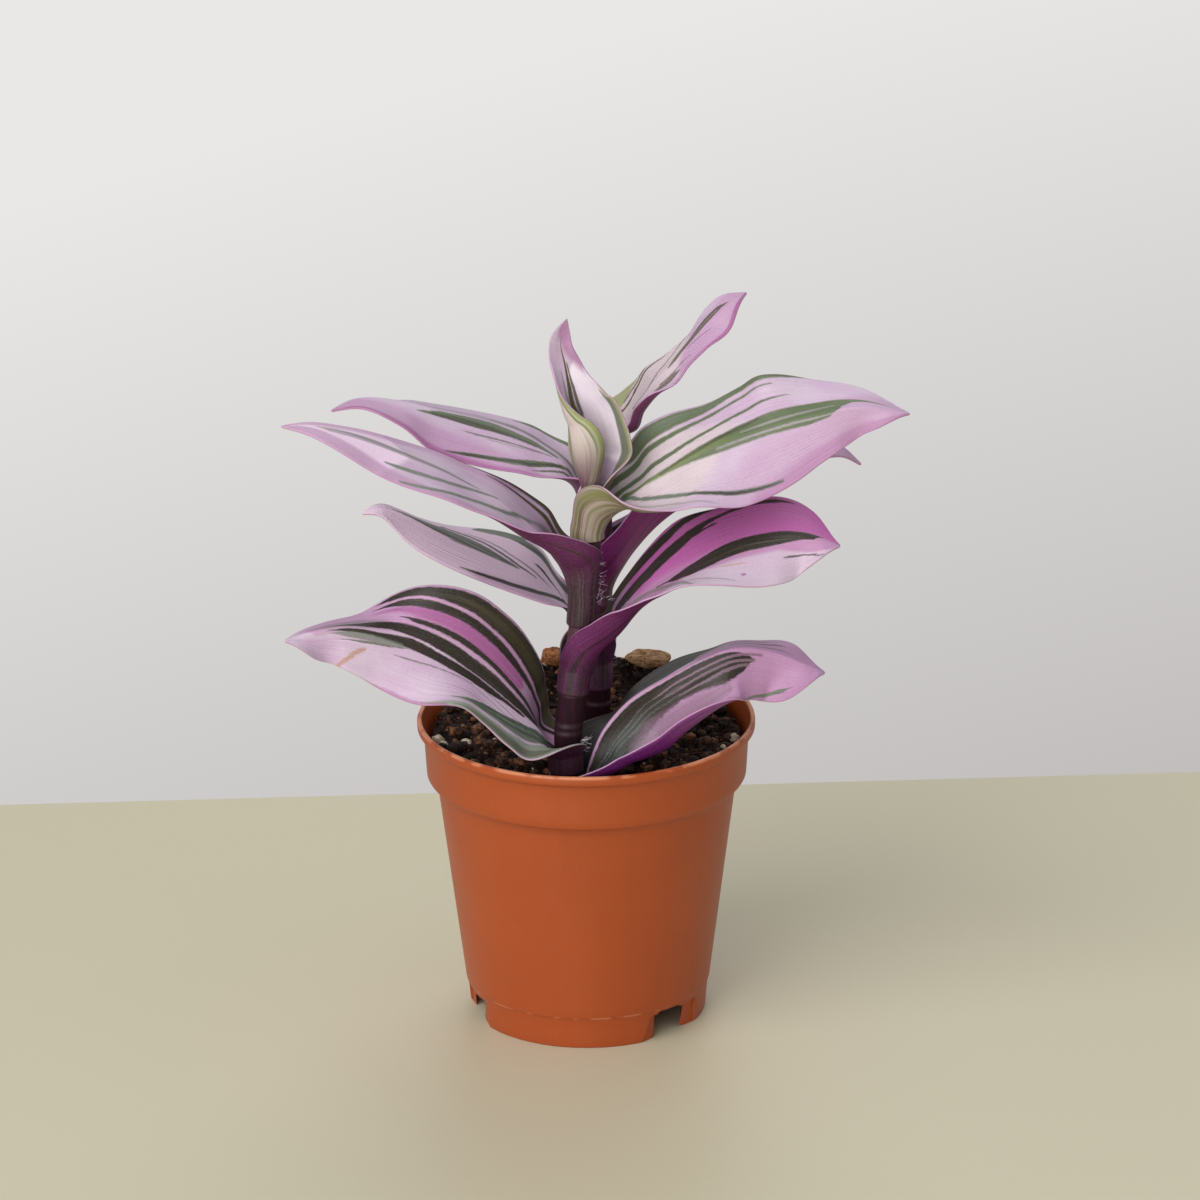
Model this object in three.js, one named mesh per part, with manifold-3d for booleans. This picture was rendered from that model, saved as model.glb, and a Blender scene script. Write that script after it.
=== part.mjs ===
import * as THREE from "three";
import { mergeVertices } from "three/addons/utils/BufferGeometryUtils.js";
import Module from "manifold-3d";

// A small striped tradescantia in a nursery pot. Millimetres, +Z up, front of the plant towards -Y.

const wasm = await Module();
wasm.setup();

// Driving dimensions
const rimRadius = 38;
const potHeight = 70;
const footRadius = 26.7;
const footHeight = 7.5;
const potWall = 1;
const bandHeight = 13.5;
const lipHeight = 2.4;
const floorHeight = 6.5;
const floorThickness = 1.5;
const notchAzimuths = [42.5, 162.5, 282.5];
const clearance = 0.3;
const leafThickness = 0.65;
const soilLevel = 66.8;
const stemFoot = 51;

const frontStemHole = { x: -4.5, y: -23, radius: 6.2 };
const backStemHole = { x: 2.5, y: 0, radius: 3.6 };

const material = (color, roughness) => new THREE.MeshStandardMaterial({ color, roughness, metalness: 0 });
const potPlastic = material(0xb8603a, 0.5);
const peat = material(0x2f2119, 0.95);
const bark = material(0x8a5a36, 0.9);
const stemSkin = material(0x5a2a4c, 0.55);
const leafSkin = material(0xc490bd, 0.5);

const smooth = (share) => share * share * (3 - 2 * share);
const radians = THREE.MathUtils.degToRad;

function mesh(name, geometry, skin) {
  const made = new THREE.Mesh(geometry, skin);
  made.name = name;
  return made;
}

// A closed three.js geometry as a solid, and back
function toSolid(geometry) {
  const plain = geometry.index ? geometry.toNonIndexed() : geometry.clone();
  plain.deleteAttribute("normal");
  plain.deleteAttribute("uv");
  const merged = mergeVertices(plain, 1e-4);
  return new wasm.Manifold(new wasm.Mesh({
    numProp: 3,
    vertProperties: merged.attributes.position.array,
    triVerts: new Uint32Array(merged.index.array),
  }));
}

function toGeometry(solid) {
  const { vertProperties, triVerts } = solid.getMesh();
  const geometry = new THREE.BufferGeometry();
  geometry.setAttribute("position", new THREE.BufferAttribute(vertProperties, 3));
  geometry.setIndex(new THREE.BufferAttribute(triVerts, 1));
  geometry.computeVertexNormals();
  return geometry;
}

// A profile of [radius, height] pairs turned about the Z axis
function turned(profile, segments) {
  const points = profile.map(([radius, height]) => new THREE.Vector2(radius, height));
  return new THREE.LatheGeometry(points, segments).rotateX(Math.PI / 2);
}

// Part of a ring, from below the foot up to a height. Azimuths count from the front towards +X.
function ringSector(inner, outer, azimuth, halfAngle, height) {
  const middle = radians(azimuth - 90);
  const half = radians(halfAngle);
  const shape = new THREE.Shape();
  shape.absarc(0, 0, outer, middle - half, middle + half, false);
  shape.absarc(0, 0, inner, middle + half, middle - half, true);
  shape.closePath();
  const below = 1;
  const settings = { depth: height + below, bevelEnabled: false, curveSegments: 8 };
  return new THREE.ExtrudeGeometry(shape, settings).translate(0, 0, -below);
}

// Pot: foot ring, tapered wall, wider band and a rounded lip
const bandFoot = potHeight - bandHeight;
const bandRadius = rimRadius - 2;
const wallRadius = (height) => footRadius + 1 + ((height - footHeight) / (bandFoot - footHeight)) * 6.2;

function makePot() {
  const lipFoot = potHeight - lipHeight;
  const bandTop = bandRadius + 0.6;
  const underside = [
    [0, floorHeight],
    [footRadius - 0.8, floorHeight],
    [footRadius - 1.2, 0],
  ];
  const outside = [
    [footRadius, 0],
    [footRadius + 0.8, footHeight - 0.1],
    [wallRadius(footHeight), footHeight],
    [wallRadius(32), 32],
    [wallRadius(bandFoot), bandFoot],
    [bandRadius, bandFoot],
    [bandTop, lipFoot],
    [rimRadius - 0.4, lipFoot + 0.2],
    [rimRadius, lipFoot + 0.8],
    [rimRadius, potHeight - 0.6],
    [rimRadius - 0.4, potHeight],
  ];
  const inside = [
    [rimRadius - 0.9, potHeight - 0.1],
    [bandTop - potWall, lipFoot],
    [bandRadius - potWall, bandFoot + potWall],
    [wallRadius(bandFoot) - potWall, bandFoot + potWall],
    [wallRadius(floorHeight) - potWall, floorHeight + floorThickness],
    [0, floorHeight + floorThickness],
  ];
  let pot = toSolid(turned([...underside, ...outside, ...inside], 60));
  const outward = footRadius + 4;
  for (const azimuth of notchAzimuths) {
    const notch = ringSector(footRadius - 3, outward, azimuth, 7.5, 7);
    const recess = ringSector(footRadius - 0.4, outward, azimuth, 20, 6.4);
    const drain = ringSector(footRadius - 9, footRadius - 1.4, azimuth, 7.5, floorHeight + 5);
    for (const cut of [notch, recess, drain]) pot = pot.subtract(toSolid(cut));
  }
  return toGeometry(pot);
}

// Height of the peat: banked up at the back, hollowed round the front stem, lumpy all over
function peatHeight(x, y) {
  const back = smooth(THREE.MathUtils.clamp((y - 8) / 24, 0, 1)) * Math.exp(-(((x - 3) / 22) ** 2));
  const hollow = Math.exp(-(((x - 1) / 13) ** 2) - ((y + 26) / 10) ** 2);
  const lumps = 0.7 * Math.sin(0.41 * x + 1.3) * Math.cos(0.37 * y) + 0.4 * Math.sin(0.93 * x - 0.71 * y);
  return soilLevel + 5.4 * back - 8 * hollow + lumps;
}

function makeSoil() {
  const bottom = floorHeight + floorThickness + clearance;
  const ledge = bandFoot + potWall + clearance;
  const inset = potWall + 0.5;
  const topRadius = bandRadius - inset;
  const rings = 8;
  const profile = [
    [0, bottom],
    [wallRadius(floorHeight) - inset, bottom],
    [wallRadius(bandFoot) - inset, ledge],
    [topRadius, ledge],
    ...Array.from({ length: rings + 1 }, (_, i) => [topRadius * (1 - i / rings), soilLevel]),
  ];
  const body = turned(profile, 40);
  const position = body.attributes.position;
  for (let i = 0; i < position.count; i++)
    if (position.getZ(i) > soilLevel - 0.01)
      position.setZ(i, peatHeight(position.getX(i), position.getY(i)));
  let soil = toSolid(body);
  for (const { x, y, radius } of [frontStemHole, backStemHole]) {
    const hole = new THREE.CylinderGeometry(radius, radius, potHeight, 20).rotateX(Math.PI / 2);
    soil = soil.subtract(toSolid(hole.translate(x, y, stemFoot + potHeight / 2 - 1)));
  }
  return toGeometry(soil);
}

// A chunk of bark lying on the peat: a squashed ball with a worn, uneven surface
function makeChip({ x, y, size, turn }) {
  const ball = new THREE.IcosahedronGeometry(0.5, 2);
  const chip = mergeVertices(ball.deleteAttribute("normal").deleteAttribute("uv"));
  const position = chip.attributes.position;
  for (let i = 0; i < position.count; i++) {
    const point = new THREE.Vector3().fromBufferAttribute(position, i);
    const wear = 1 + 0.09 * Math.sin(9 * point.x + 4 * point.z) * Math.cos(11 * point.y);
    position.setXYZ(i, ...point.multiplyScalar(wear).multiply(size).toArray());
  }
  chip.rotateZ(radians(turn)).translate(x, y, 0);
  let seat = 0;
  for (let i = 0; i < position.count; i++)
    seat = Math.max(seat, peatHeight(position.getX(i), position.getY(i)) - position.getZ(i));
  return chip.translate(0, 0, seat + clearance);
}

const extraStemRows = 11;

// A round stem along a path of [x, y, z, radius]
function makeStem(path, sides = 12) {
  const rows = path.length + extraStemRows;
  const points = path.map(([x, y, z]) => new THREE.Vector3(x, y, z));
  const curve = new THREE.CatmullRomCurve3(points, false, "centripetal");
  const positions = [];
  const index = [];
  for (let i = 0; i <= rows; i++) {
    const share = i / rows;
    const centre = curve.getPoint(share);
    const place = Math.min(share * (path.length - 1), path.length - 1.001);
    const from = path[Math.floor(place)][3];
    const to = path[Math.floor(place) + 1][3];
    const radius = THREE.MathUtils.lerp(from, to, smooth(place % 1));
    for (let j = 0; j < sides; j++) {
      const angle = (2 * Math.PI * j) / sides;
      positions.push(centre.x + radius * Math.cos(angle), centre.y + radius * Math.sin(angle), centre.z);
    }
  }
  for (let i = 0; i < rows; i++)
    for (let j = 0; j < sides; j++) {
      const [a, b] = [i * sides + j, i * sides + ((j + 1) % sides)];
      index.push(a, b, a + sides, b, b + sides, a + sides);
    }
  for (let j = 1; j < sides - 1; j++) {
    const top = rows * sides;
    index.push(0, j + 1, j, top, top + j, top + j + 1);
  }
  return closedGeometry(positions, index);
}

function closedGeometry(positions, index) {
  const geometry = new THREE.BufferGeometry();
  geometry.setAttribute("position", new THREE.Float32BufferAttribute(positions, 3));
  geometry.setIndex(index);
  geometry.computeVertexNormals();
  return geometry;
}

// Smooth value between the rows of a table whose first column is the share of the blade's length
function between(rows, share) {
  const last = rows.length - 1;
  let i = 0;
  while (i < last - 1 && share >= rows[i + 1][0]) i++;
  const span = rows[i + 1][0] - rows[i][0];
  const w = THREE.MathUtils.clamp((share - rows[i][0]) / span, 0, 1);
  const slope = (k, column) => {
    const [before, after] = [rows[Math.max(k - 1, 0)], rows[Math.min(k + 1, last)]];
    return ((after[column] - before[column]) / (after[0] - before[0])) * span;
  };
  return [1, 2, 3, 4].map((column) => {
    const [from, to] = [rows[i][column], rows[i + 1][column]];
    const leaving = (w ** 3 - 2 * w ** 2 + w) * slope(i, column);
    const arriving = (w ** 3 - w ** 2) * slope(i + 1, column);
    return from + smooth(w) * (to - from) + leaving + arriving;
  });
}

// A leaf is a tubular sheath round the stem that opens into a blade. The path is its midrib: sheath
// foot, sheath mouth, then the blade out to its tip. Each half is a table of share of the blade's
// length, half-width, lift of the half at the midrib, and bend across the half, in degrees. A fifth
// value lets the outer part of the half sag into a gutter behind its margin.
const sheathBend = 170;
const sagFrom = 0.4;
const bluntTip = 0.98;
const leafRows = { sheath: 3, blade: 20 };
const halfColumns = 6;

function leafFrames(leaf) {
  const points = leaf.midrib.map((p) => new THREE.Vector3(...p));
  const curve = new THREE.CatmullRomCurve3(points, false, "centripetal");
  const stretch = 40;
  const lengths = curve.getLengths(stretch * (points.length - 1));
  const mouth = lengths[stretch] / lengths.at(-1);
  const shares = [];
  for (let i = 0; i < leafRows.sheath; i++) shares.push((mouth * i) / leafRows.sheath);
  for (let i = 0; i <= leafRows.blade; i++)
    shares.push(mouth + (1 - mouth) * Math.min(i / leafRows.blade, bluntTip));
  const bearing = radians(leaf.bearing);
  const facing = new THREE.Vector3(-Math.cos(bearing), -Math.sin(bearing), 0);
  return shares.map((share) => {
    const along = curve.getTangentAt(share);
    facing.addScaledVector(along, -facing.dot(along)).normalize();
    const side = along.clone().cross(facing);
    const blade = (share - mouth) / (1 - mouth);
    return { centre: curve.getPointAt(share), facing: facing.clone(), side, blade };
  });
}

function leafSurface(leaf) {
  const sheathWidth = leaf.sheathRadius * radians(sheathBend);
  const ends = [[0, sheathWidth, 0, sheathBend], [1, 0, 0, 0]];
  const table = (half) => [ends[0], ...half, ends[1]].map((row) => [...row, 0]);
  const pointsLeft = Math.cos(radians(leaf.bearing)) < 0;
  const plus = table(pointsLeft ? leaf.far : leaf.near);
  const minus = table(pointsLeft ? leaf.near : leaf.far);
  return leafFrames(leaf).map(({ centre, facing, side, blade }) => {
    const row = [];
    for (let j = -halfColumns; j <= halfColumns; j++) {
      const [width, lift, bend, sag] = between(j < 0 ? minus : plus, Math.max(blade, 0));
      const reach = Math.abs(j / halfColumns);
      const turn = radians(bend * reach) / 2;
      const chord = ((width * j) / halfColumns) * (Math.abs(turn) > 1e-4 ? Math.sin(turn) / turn : 1);
      const angle = radians(lift) + turn;
      const out = chord * Math.cos(angle);
      const gutter = Math.sin((Math.PI * Math.max(reach - sagFrom, 0)) / (1 - sagFrom));
      const up = Math.abs(chord) * Math.sin(angle) - sag * gutter;
      row.push(centre.clone().addScaledVector(side, out).addScaledVector(facing, up));
    }
    return row;
  });
}

function makeLeaf(leaf) {
  const surface = leafSurface(leaf);
  const [rows, columns] = [surface.length, 2 * halfColumns + 1];
  const { clamp } = THREE.MathUtils;
  const at = (i, j) => surface[clamp(i, 0, rows - 1)][clamp(j, 0, columns - 1)];
  const faces = [[], []];
  for (let i = 0; i < rows; i++)
    for (let j = 0; j < columns; j++) {
      const across = at(i, j + 1).clone().sub(at(i, j - 1));
      const along = at(i + 1, j).clone().sub(at(i - 1, j));
      const offset = across.cross(along).setLength(leafThickness / 2);
      faces[0].push(...at(i, j).clone().add(offset).toArray());
      faces[1].push(...at(i, j).clone().sub(offset).toArray());
    }
  const lower = rows * columns;
  const index = [];
  const quad = (a, b, c, d) => index.push(a, b, d, b, c, d);
  for (let i = 0; i < rows - 1; i++)
    for (let j = 0; j < columns - 1; j++) {
      const [a, b] = [i * columns + j, (i + 1) * columns + j];
      quad(a, a + 1, b + 1, b);
      index.push(lower + a, lower + b, lower + a + 1, lower + a + 1, lower + b, lower + b + 1);
    }
  for (let i = 0; i < rows - 1; i++) {
    const [left, right] = [i * columns, i * columns + columns - 1];
    quad(left, left + columns, lower + left + columns, lower + left);
    quad(right + columns, right, lower + right, lower + right + columns);
  }
  for (let j = 0; j < columns - 1; j++) {
    const tip = (rows - 1) * columns + j;
    quad(j + 1, j, lower + j, lower + j + 1);
    quad(tip, tip + 1, lower + tip + 1, lower + tip);
  }
  return closedGeometry([...faces[0], ...faces[1]], index);
}

const leaves = [
  {
    name: "leaf_front_1",
    bearing: 182,
    sheathRadius: 3.8,
    midrib: [[-8.3, -23, 66], [-8.3, -23, 69.5], [-9.5, -23, 74], [-13.5, -24, 79], [-19, -25, 84.5],
      [-25.5, -26, 90.5], [-31.5, -27, 95], [-38.5, -28, 98.5], [-46.5, -29, 101.5], [-53.5, -30, 102.5],
      [-60.5, -31, 101.5], [-66, -32, 100]],
    near: [[0.04, 14, -16, 130], [0.1, 13.3, -38, 60], [0.18, 12.2, -41, 40], [0.28, 10.4, -36, 20],
      [0.38, 10.3, -34, 10], [0.5, 12.8, -55, 5], [0.65, 12.2, -73, 0], [0.8, 9.7, -74, 0],
      [0.9, 7.1, -80, 0]],
    far: [[0.05, 11.7, -39, 110], [0.1, 12.8, -13, 70], [0.2, 13.9, 26, 30], [0.3, 14.8, 48, 10],
      [0.4, 15.2, 64, 0], [0.5, 15.3, 69, 0], [0.62, 12.5, 55, 0], [0.75, 7.6, -1, 0],
      [0.88, 5.3, -13, 0]],
  },
  {
    name: "leaf_front_2",
    bearing: 0,
    sheathRadius: 3.4,
    midrib: [[-1.1, -23, 54], [-1.1, -23, 58], [0, -23, 64], [2, -23, 71], [4, -23, 75.5], [9.5, -23, 82],
      [18, -23, 87.5], [26, -23, 92], [33, -23, 94.5], [41.5, -22, 93], [47.5, -22, 90.5], [53, -22, 88]],
    near: [[0.05, 11.5, -15, 155], [0.1, 12.5, -45, 150, 0.5], [0.2, 13.4, -98, 155, 2.2],
      [0.35, 14.5, -116, 140, 4.3], [0.5, 14.1, -88, 110, 3.4], [0.65, 12.6, -61, 45, 2.6],
      [0.8, 11.4, -83, 10], [0.9, 10.4, -84, 0]],
    far: [[0.05, 11, 0, 130], [0.1, 11.5, 0, 90], [0.16, 12, 0, 55], [0.25, 12, -19, 20],
      [0.35, 12.1, -13, 10], [0.5, 12, -5, 0], [0.65, 11, -13, 0], [0.8, 8.5, -6, 0], [0.9, 6, 15, 0]],
  },
  {
    name: "leaf_front_3",
    bearing: 0,
    sheathRadius: 3.5,
    midrib: [[0.5, -21.7, 83.5], [1.2, -21.4, 88.5], [3, -21, 93.5], [6.5, -21, 98], [10.5, -21, 103.5],
      [15.5, -22, 109], [23, -23, 114], [32, -24, 119], [40.5, -25, 121], [48, -26, 121.5],
      [56, -27, 119.5]],
    near: [[0.05, 11.6, -10, 155], [0.12, 12.3, -19, 135], [0.2, 13.3, -26, 120], [0.3, 12.5, -19, 75],
      [0.4, 12.7, -15, 45], [0.5, 12.7, -8, 20], [0.65, 12.2, -33, 10], [0.78, 11, -50, 0],
      [0.9, 7.6, -68, 0]],
    far: [[0.05, 11.5, 0, 150], [0.12, 11.6, -32, 100], [0.2, 12.2, -1, 30], [0.35, 12.7, 19, 0],
      [0.5, 13.5, 29, 0], [0.65, 13.2, 18, 0], [0.8, 11.5, 26, 0], [0.9, 7.9, 17, 0]],
  },
  {
    name: "leaf_front_4",
    bearing: 180,
    sheathRadius: 3.4,
    midrib: [[-4, -20.3, 99.5], [-3.7, -20, 107.5], [-5.5, -20, 113], [-8.5, -20, 118.5], [-13, -20, 123],
      [-18.5, -21, 128], [-25, -22, 132], [-31.5, -23, 136], [-42, -24, 141], [-51, -25, 145],
      [-59, -26, 147.5], [-66, -27, 148]],
    near: [[0.05, 12.5, 13, 150], [0.1, 13.5, -4, 135], [0.2, 12.1, -36, 115], [0.3, 12, -35, 80],
      [0.4, 11.8, -23, 45], [0.5, 12.2, -14, 20], [0.7, 9.4, -18, 0], [0.85, 7.4, -7, 0]],
    far: [[0.05, 11.5, 0, 140], [0.1, 11.5, -31, 100], [0.2, 11.9, -5, 40], [0.35, 11.6, 0, 10],
      [0.5, 10.9, 1, 0], [0.7, 8.8, -3, 0], [0.85, 4.3, -4, 0]],
  },
  {
    name: "leaf_front_5",
    bearing: 0,
    sheathRadius: 3.6,
    midrib: [[4.1, -20, 119.5], [4.2, -20, 121.5], [6.2, -20, 124.8], [10.5, -20, 129], [16, -21, 134],
      [27, -22, 140.5], [38.5, -23, 145], [49, -24, 148.5], [60, -25, 151], [71, -26, 149.6]],
    near: [[0.04, 13.7, 1, 165], [0.1, 14.4, -21, 148], [0.16, 15.2, -52, 130], [0.24, 14.2, -68, 95],
      [0.32, 14.3, -55, 50], [0.45, 15.3, -61, 15], [0.6, 13.4, -66, 0], [0.75, 9.3, -75, 0],
      [0.88, 5.8, -83, 0]],
    far: [[0.04, 12.5, 0, 155], [0.1, 13.2, -5, 125], [0.16, 12.9, -8, 90], [0.24, 13.6, 20, 35],
      [0.32, 13.6, 31, 5], [0.42, 13.1, 26, 0], [0.52, 13, 29, 10], [0.6, 12.7, 46, 0],
      [0.72, 10.8, 26, 0], [0.86, 7.5, 9, 0]],
  },
  {
    name: "leaf_front_6",
    bearing: 98,
    sheathRadius: 2.8,
    midrib: [[1.9, -16.7, 126], [1.9, -16.7, 130], [1.1, -15.8, 137.5], [0, -15, 146], [-1.5, -15, 149],
      [-3, -15, 153.5], [-4, -15, 158], [-5, -16, 163.5], [-3.5, -17, 169]],
    near: [[0.04, 9.2, 3, 176], [0.1, 12, -5, 216], [0.25, 17.3, -6, 236], [0.4, 14.2, 4, 184],
      [0.53, 9.7, 9, 133], [0.65, 5.2, 7, 80], [0.8, 3.1, 4, 20], [0.9, 2, 4, 0]],
    far: [[0.08, 10.5, -11, 150], [0.16, 12.5, -14, 115], [0.25, 12.8, 4, 80], [0.4, 11.2, 15, 60],
      [0.53, 8.2, 14, 50], [0.65, 5, 14, 40], [0.8, 2.9, 18, 20], [0.9, 2, 11, 0]],
  },
  {
    name: "leaf_back_1",
    bearing: 180,
    sheathRadius: 3.4,
    midrib: [[-0.9, 0, 77], [-0.9, 0, 83], [-2, 0, 90.5], [-4.5, -1, 97], [-8, -2, 101], [-12.5, -3, 105],
      [-20.5, -4, 109.5], [-32, -5, 115.5], [-41, -6, 120.5], [-45.5, -7, 122], [-49.5, -8, 121]],
    near: [[0.05, 11.3, 0, 150], [0.1, 11.8, -8, 125], [0.2, 8.7, -9, 80], [0.35, 10.3, -9, 20],
      [0.5, 10.8, -7, 0], [0.7, 9.6, -14, 0], [0.85, 6.1, -21, 0]],
    far: [[0.05, 11.3, 0, 145], [0.1, 11.8, -5, 110], [0.2, 11.4, -18, 40], [0.35, 12, 7, 0],
      [0.5, 12, 2, 0], [0.7, 9.4, -16, 0], [0.85, 5.1, -20, 0]],
  },
  {
    name: "leaf_back_2",
    bearing: 0,
    sheathRadius: 3.4,
    midrib: [[5.9, 0, 97], [5.9, 0, 100], [7.5, 0, 104], [11.5, 0, 110], [17, 0, 116], [25.5, 0, 122],
      [36.5, 0, 128], [48, 0, 132], [56.5, 0, 132.5], [61.5, 0, 129]],
    near: [[0.05, 11.3, 0, 150], [0.1, 11.3, 2, 115], [0.2, 9.6, 32, 40], [0.35, 9.6, 58, 10],
      [0.5, 10.5, 35, 0], [0.7, 9.8, 5, 0], [0.85, 6.5, 0, 0]],
    far: [[0.05, 11.3, 0, 150], [0.1, 11.8, -5, 115], [0.2, 11.5, 0, 40], [0.35, 12, 20, 0],
      [0.5, 12, 10, 0], [0.7, 10.5, 5, 0], [0.85, 6, 0, 0]],
  },
  {
    name: "leaf_back_3",
    bearing: 180,
    sheathRadius: 3.4,
    midrib: [[-0.9, 0, 112.5], [-0.9, 0, 117], [-1.8, 0, 123.5], [-4.5, 0.5, 129.5], [-10, 1, 133],
      [-20.5, 1.5, 137.5], [-31.5, 1, 141.5], [-40.5, 0, 144.5], [-49.5, -1, 145.5], [-56, -2, 143]],
    near: [[0.05, 11.3, 0, 150], [0.1, 11.8, -8, 120], [0.2, 11.2, -41, 70], [0.35, 12, -34, 20],
      [0.5, 12.4, -33, 0], [0.65, 12.1, -31, 0], [0.76, 10.2, -18, 0], [0.87, 7.8, -10, 10]],
    far: [[0.05, 11.3, 0, 145], [0.1, 11.8, -5, 110], [0.2, 11.4, -9, 40], [0.35, 11.8, 6, 0],
      [0.5, 11.5, -1, 0], [0.7, 9.3, -10, 0], [0.85, 4.4, -20, 0]],
  },
  {
    name: "leaf_back_4",
    bearing: 10,
    sheathRadius: 3.2,
    midrib: [[5.9, 0.6, 127.5], [5.9, 0.6, 131], [7.5, 1, 135.5], [10.5, 1, 141.5], [14, 1, 146],
      [19.5, 1, 153], [23.5, 1, 157.5], [27, 1, 161.5], [32, 1, 166], [36, 1, 169]],
    near: [[0.1, 10.5, 0, 155], [0.2, 10.5, -49, 130], [0.3, 9.6, -30, 100], [0.4, 9.4, -25, 80],
      [0.5, 7.4, -40, 60], [0.6, 5.9, -28, 30], [0.7, 5.7, -23, 10], [0.85, 4.8, -37, 0]],
    far: [[0.1, 10.5, 10, 130], [0.2, 9.2, -18, 80], [0.3, 8.4, -17, 50], [0.4, 7.5, -5, 30],
      [0.5, 6.3, -9, 20], [0.65, 5.6, -7, 0], [0.8, 5.4, 8, 0], [0.9, 4.6, 10, 0]],
  },
];

const stems = {
  stem_front: [
    [frontStemHole.x, frontStemHole.y, stemFoot, 2.4],
    [frontStemHole.x, frontStemHole.y, 61, 2.5],
    [-4.2, -23, 70, 2.7],
    [-4, -23, 74, 3.2],
    [-3, -22, 81.5, 3.2],
    [-2.5, -21.7, 85, 2.4],
    [-1.8, -21.3, 89.5, 2.4],
    [-1.1, -21, 93, 3],
    [-0.6, -20.6, 97.5, 3],
    [-0.4, -20.3, 100.2, 2.4],
    [-0.2, -20.1, 107, 2.4],
    [0.1, -20, 111.5, 2.8],
    [0.5, -20, 117.5, 3],
    [0.8, -20, 120.2, 2.3],
    [1.7, -20, 126, 1.8],
  ],
  stem_back: [
    [backStemHole.x, backStemHole.y, stemFoot, 3],
    [backStemHole.x, backStemHole.y, 64, 3],
    [backStemHole.x, backStemHole.y, 75, 3.1],
    [backStemHole.x, backStemHole.y, 80, 2.4],
    [2.5, 0, 97.5, 2.4],
    [2.5, 0, 109.5, 2.3],
    [2.7, 0, 121, 2.2],
    [2.8, 0.2, 128, 2],
  ],
};

const chips = {
  bark_chip_left: { x: -7.5, y: 27.5, size: new THREE.Vector3(5.5, 6.5, 4.2), turn: 20 },
  bark_chip_right: { x: 14.5, y: 26.5, size: new THREE.Vector3(10.5, 7, 4), turn: -12 },
};

const plant = new THREE.Group();
plant.add(mesh("pot", makePot(), potPlastic));
plant.add(mesh("soil", makeSoil(), peat));
for (const [name, path] of Object.entries(stems)) plant.add(mesh(name, makeStem(path), stemSkin));
for (const [name, chip] of Object.entries(chips)) plant.add(mesh(name, makeChip(chip), bark));
for (const leaf of leaves) plant.add(mesh(leaf.name, makeLeaf(leaf), leafSkin));

// The leaves reach further to one side, so the pot's axis stands a little off the middle of the whole
const middle = new THREE.Box3().setFromObject(plant).getCenter(new THREE.Vector3());
plant.position.set(-middle.x, -middle.y, 0);

export default plant;
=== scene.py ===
import math
import random

import bmesh
import bpy
import numpy as np
from mathutils import Matrix, Vector, noise


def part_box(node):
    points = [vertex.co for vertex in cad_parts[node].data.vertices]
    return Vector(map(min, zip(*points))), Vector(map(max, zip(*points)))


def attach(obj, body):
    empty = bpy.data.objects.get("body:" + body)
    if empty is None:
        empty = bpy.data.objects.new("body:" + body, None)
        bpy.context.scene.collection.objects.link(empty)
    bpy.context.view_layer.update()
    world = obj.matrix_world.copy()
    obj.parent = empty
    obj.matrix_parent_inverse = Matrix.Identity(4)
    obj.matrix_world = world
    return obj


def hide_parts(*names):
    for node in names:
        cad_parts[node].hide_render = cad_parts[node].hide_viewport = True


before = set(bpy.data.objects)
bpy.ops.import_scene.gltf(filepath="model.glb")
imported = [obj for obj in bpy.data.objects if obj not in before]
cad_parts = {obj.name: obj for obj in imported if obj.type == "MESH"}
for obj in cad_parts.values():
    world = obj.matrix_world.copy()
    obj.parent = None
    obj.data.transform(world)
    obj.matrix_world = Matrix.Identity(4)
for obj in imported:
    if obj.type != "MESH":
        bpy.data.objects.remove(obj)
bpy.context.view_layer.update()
potLow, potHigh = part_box("pot")
axisX, axisY = (potLow.x + potHigh.x) / 2, (potLow.y + potHigh.y) / 2
mm = 0.001
print("frame loaded")


def place(x, y, z):  # millimetres about the pot's axis, as metres in the frame
    return Vector((axisX + x * mm, axisY + y * mm, z * mm))


def settle(bm):  # from millimetres about the pot's axis to metres in the frame
    for v in bm.verts:
        v.co = place(*v.co)


def rgb(red, green, blue):  # a screen colour, 0 to 255, as a linear one
    share = [c / 255 for c in (red, green, blue)]
    return [c / 12.92 if c < 0.04045 else ((c + 0.055) / 1.055) ** 2.4 for c in share] + [1]


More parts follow.
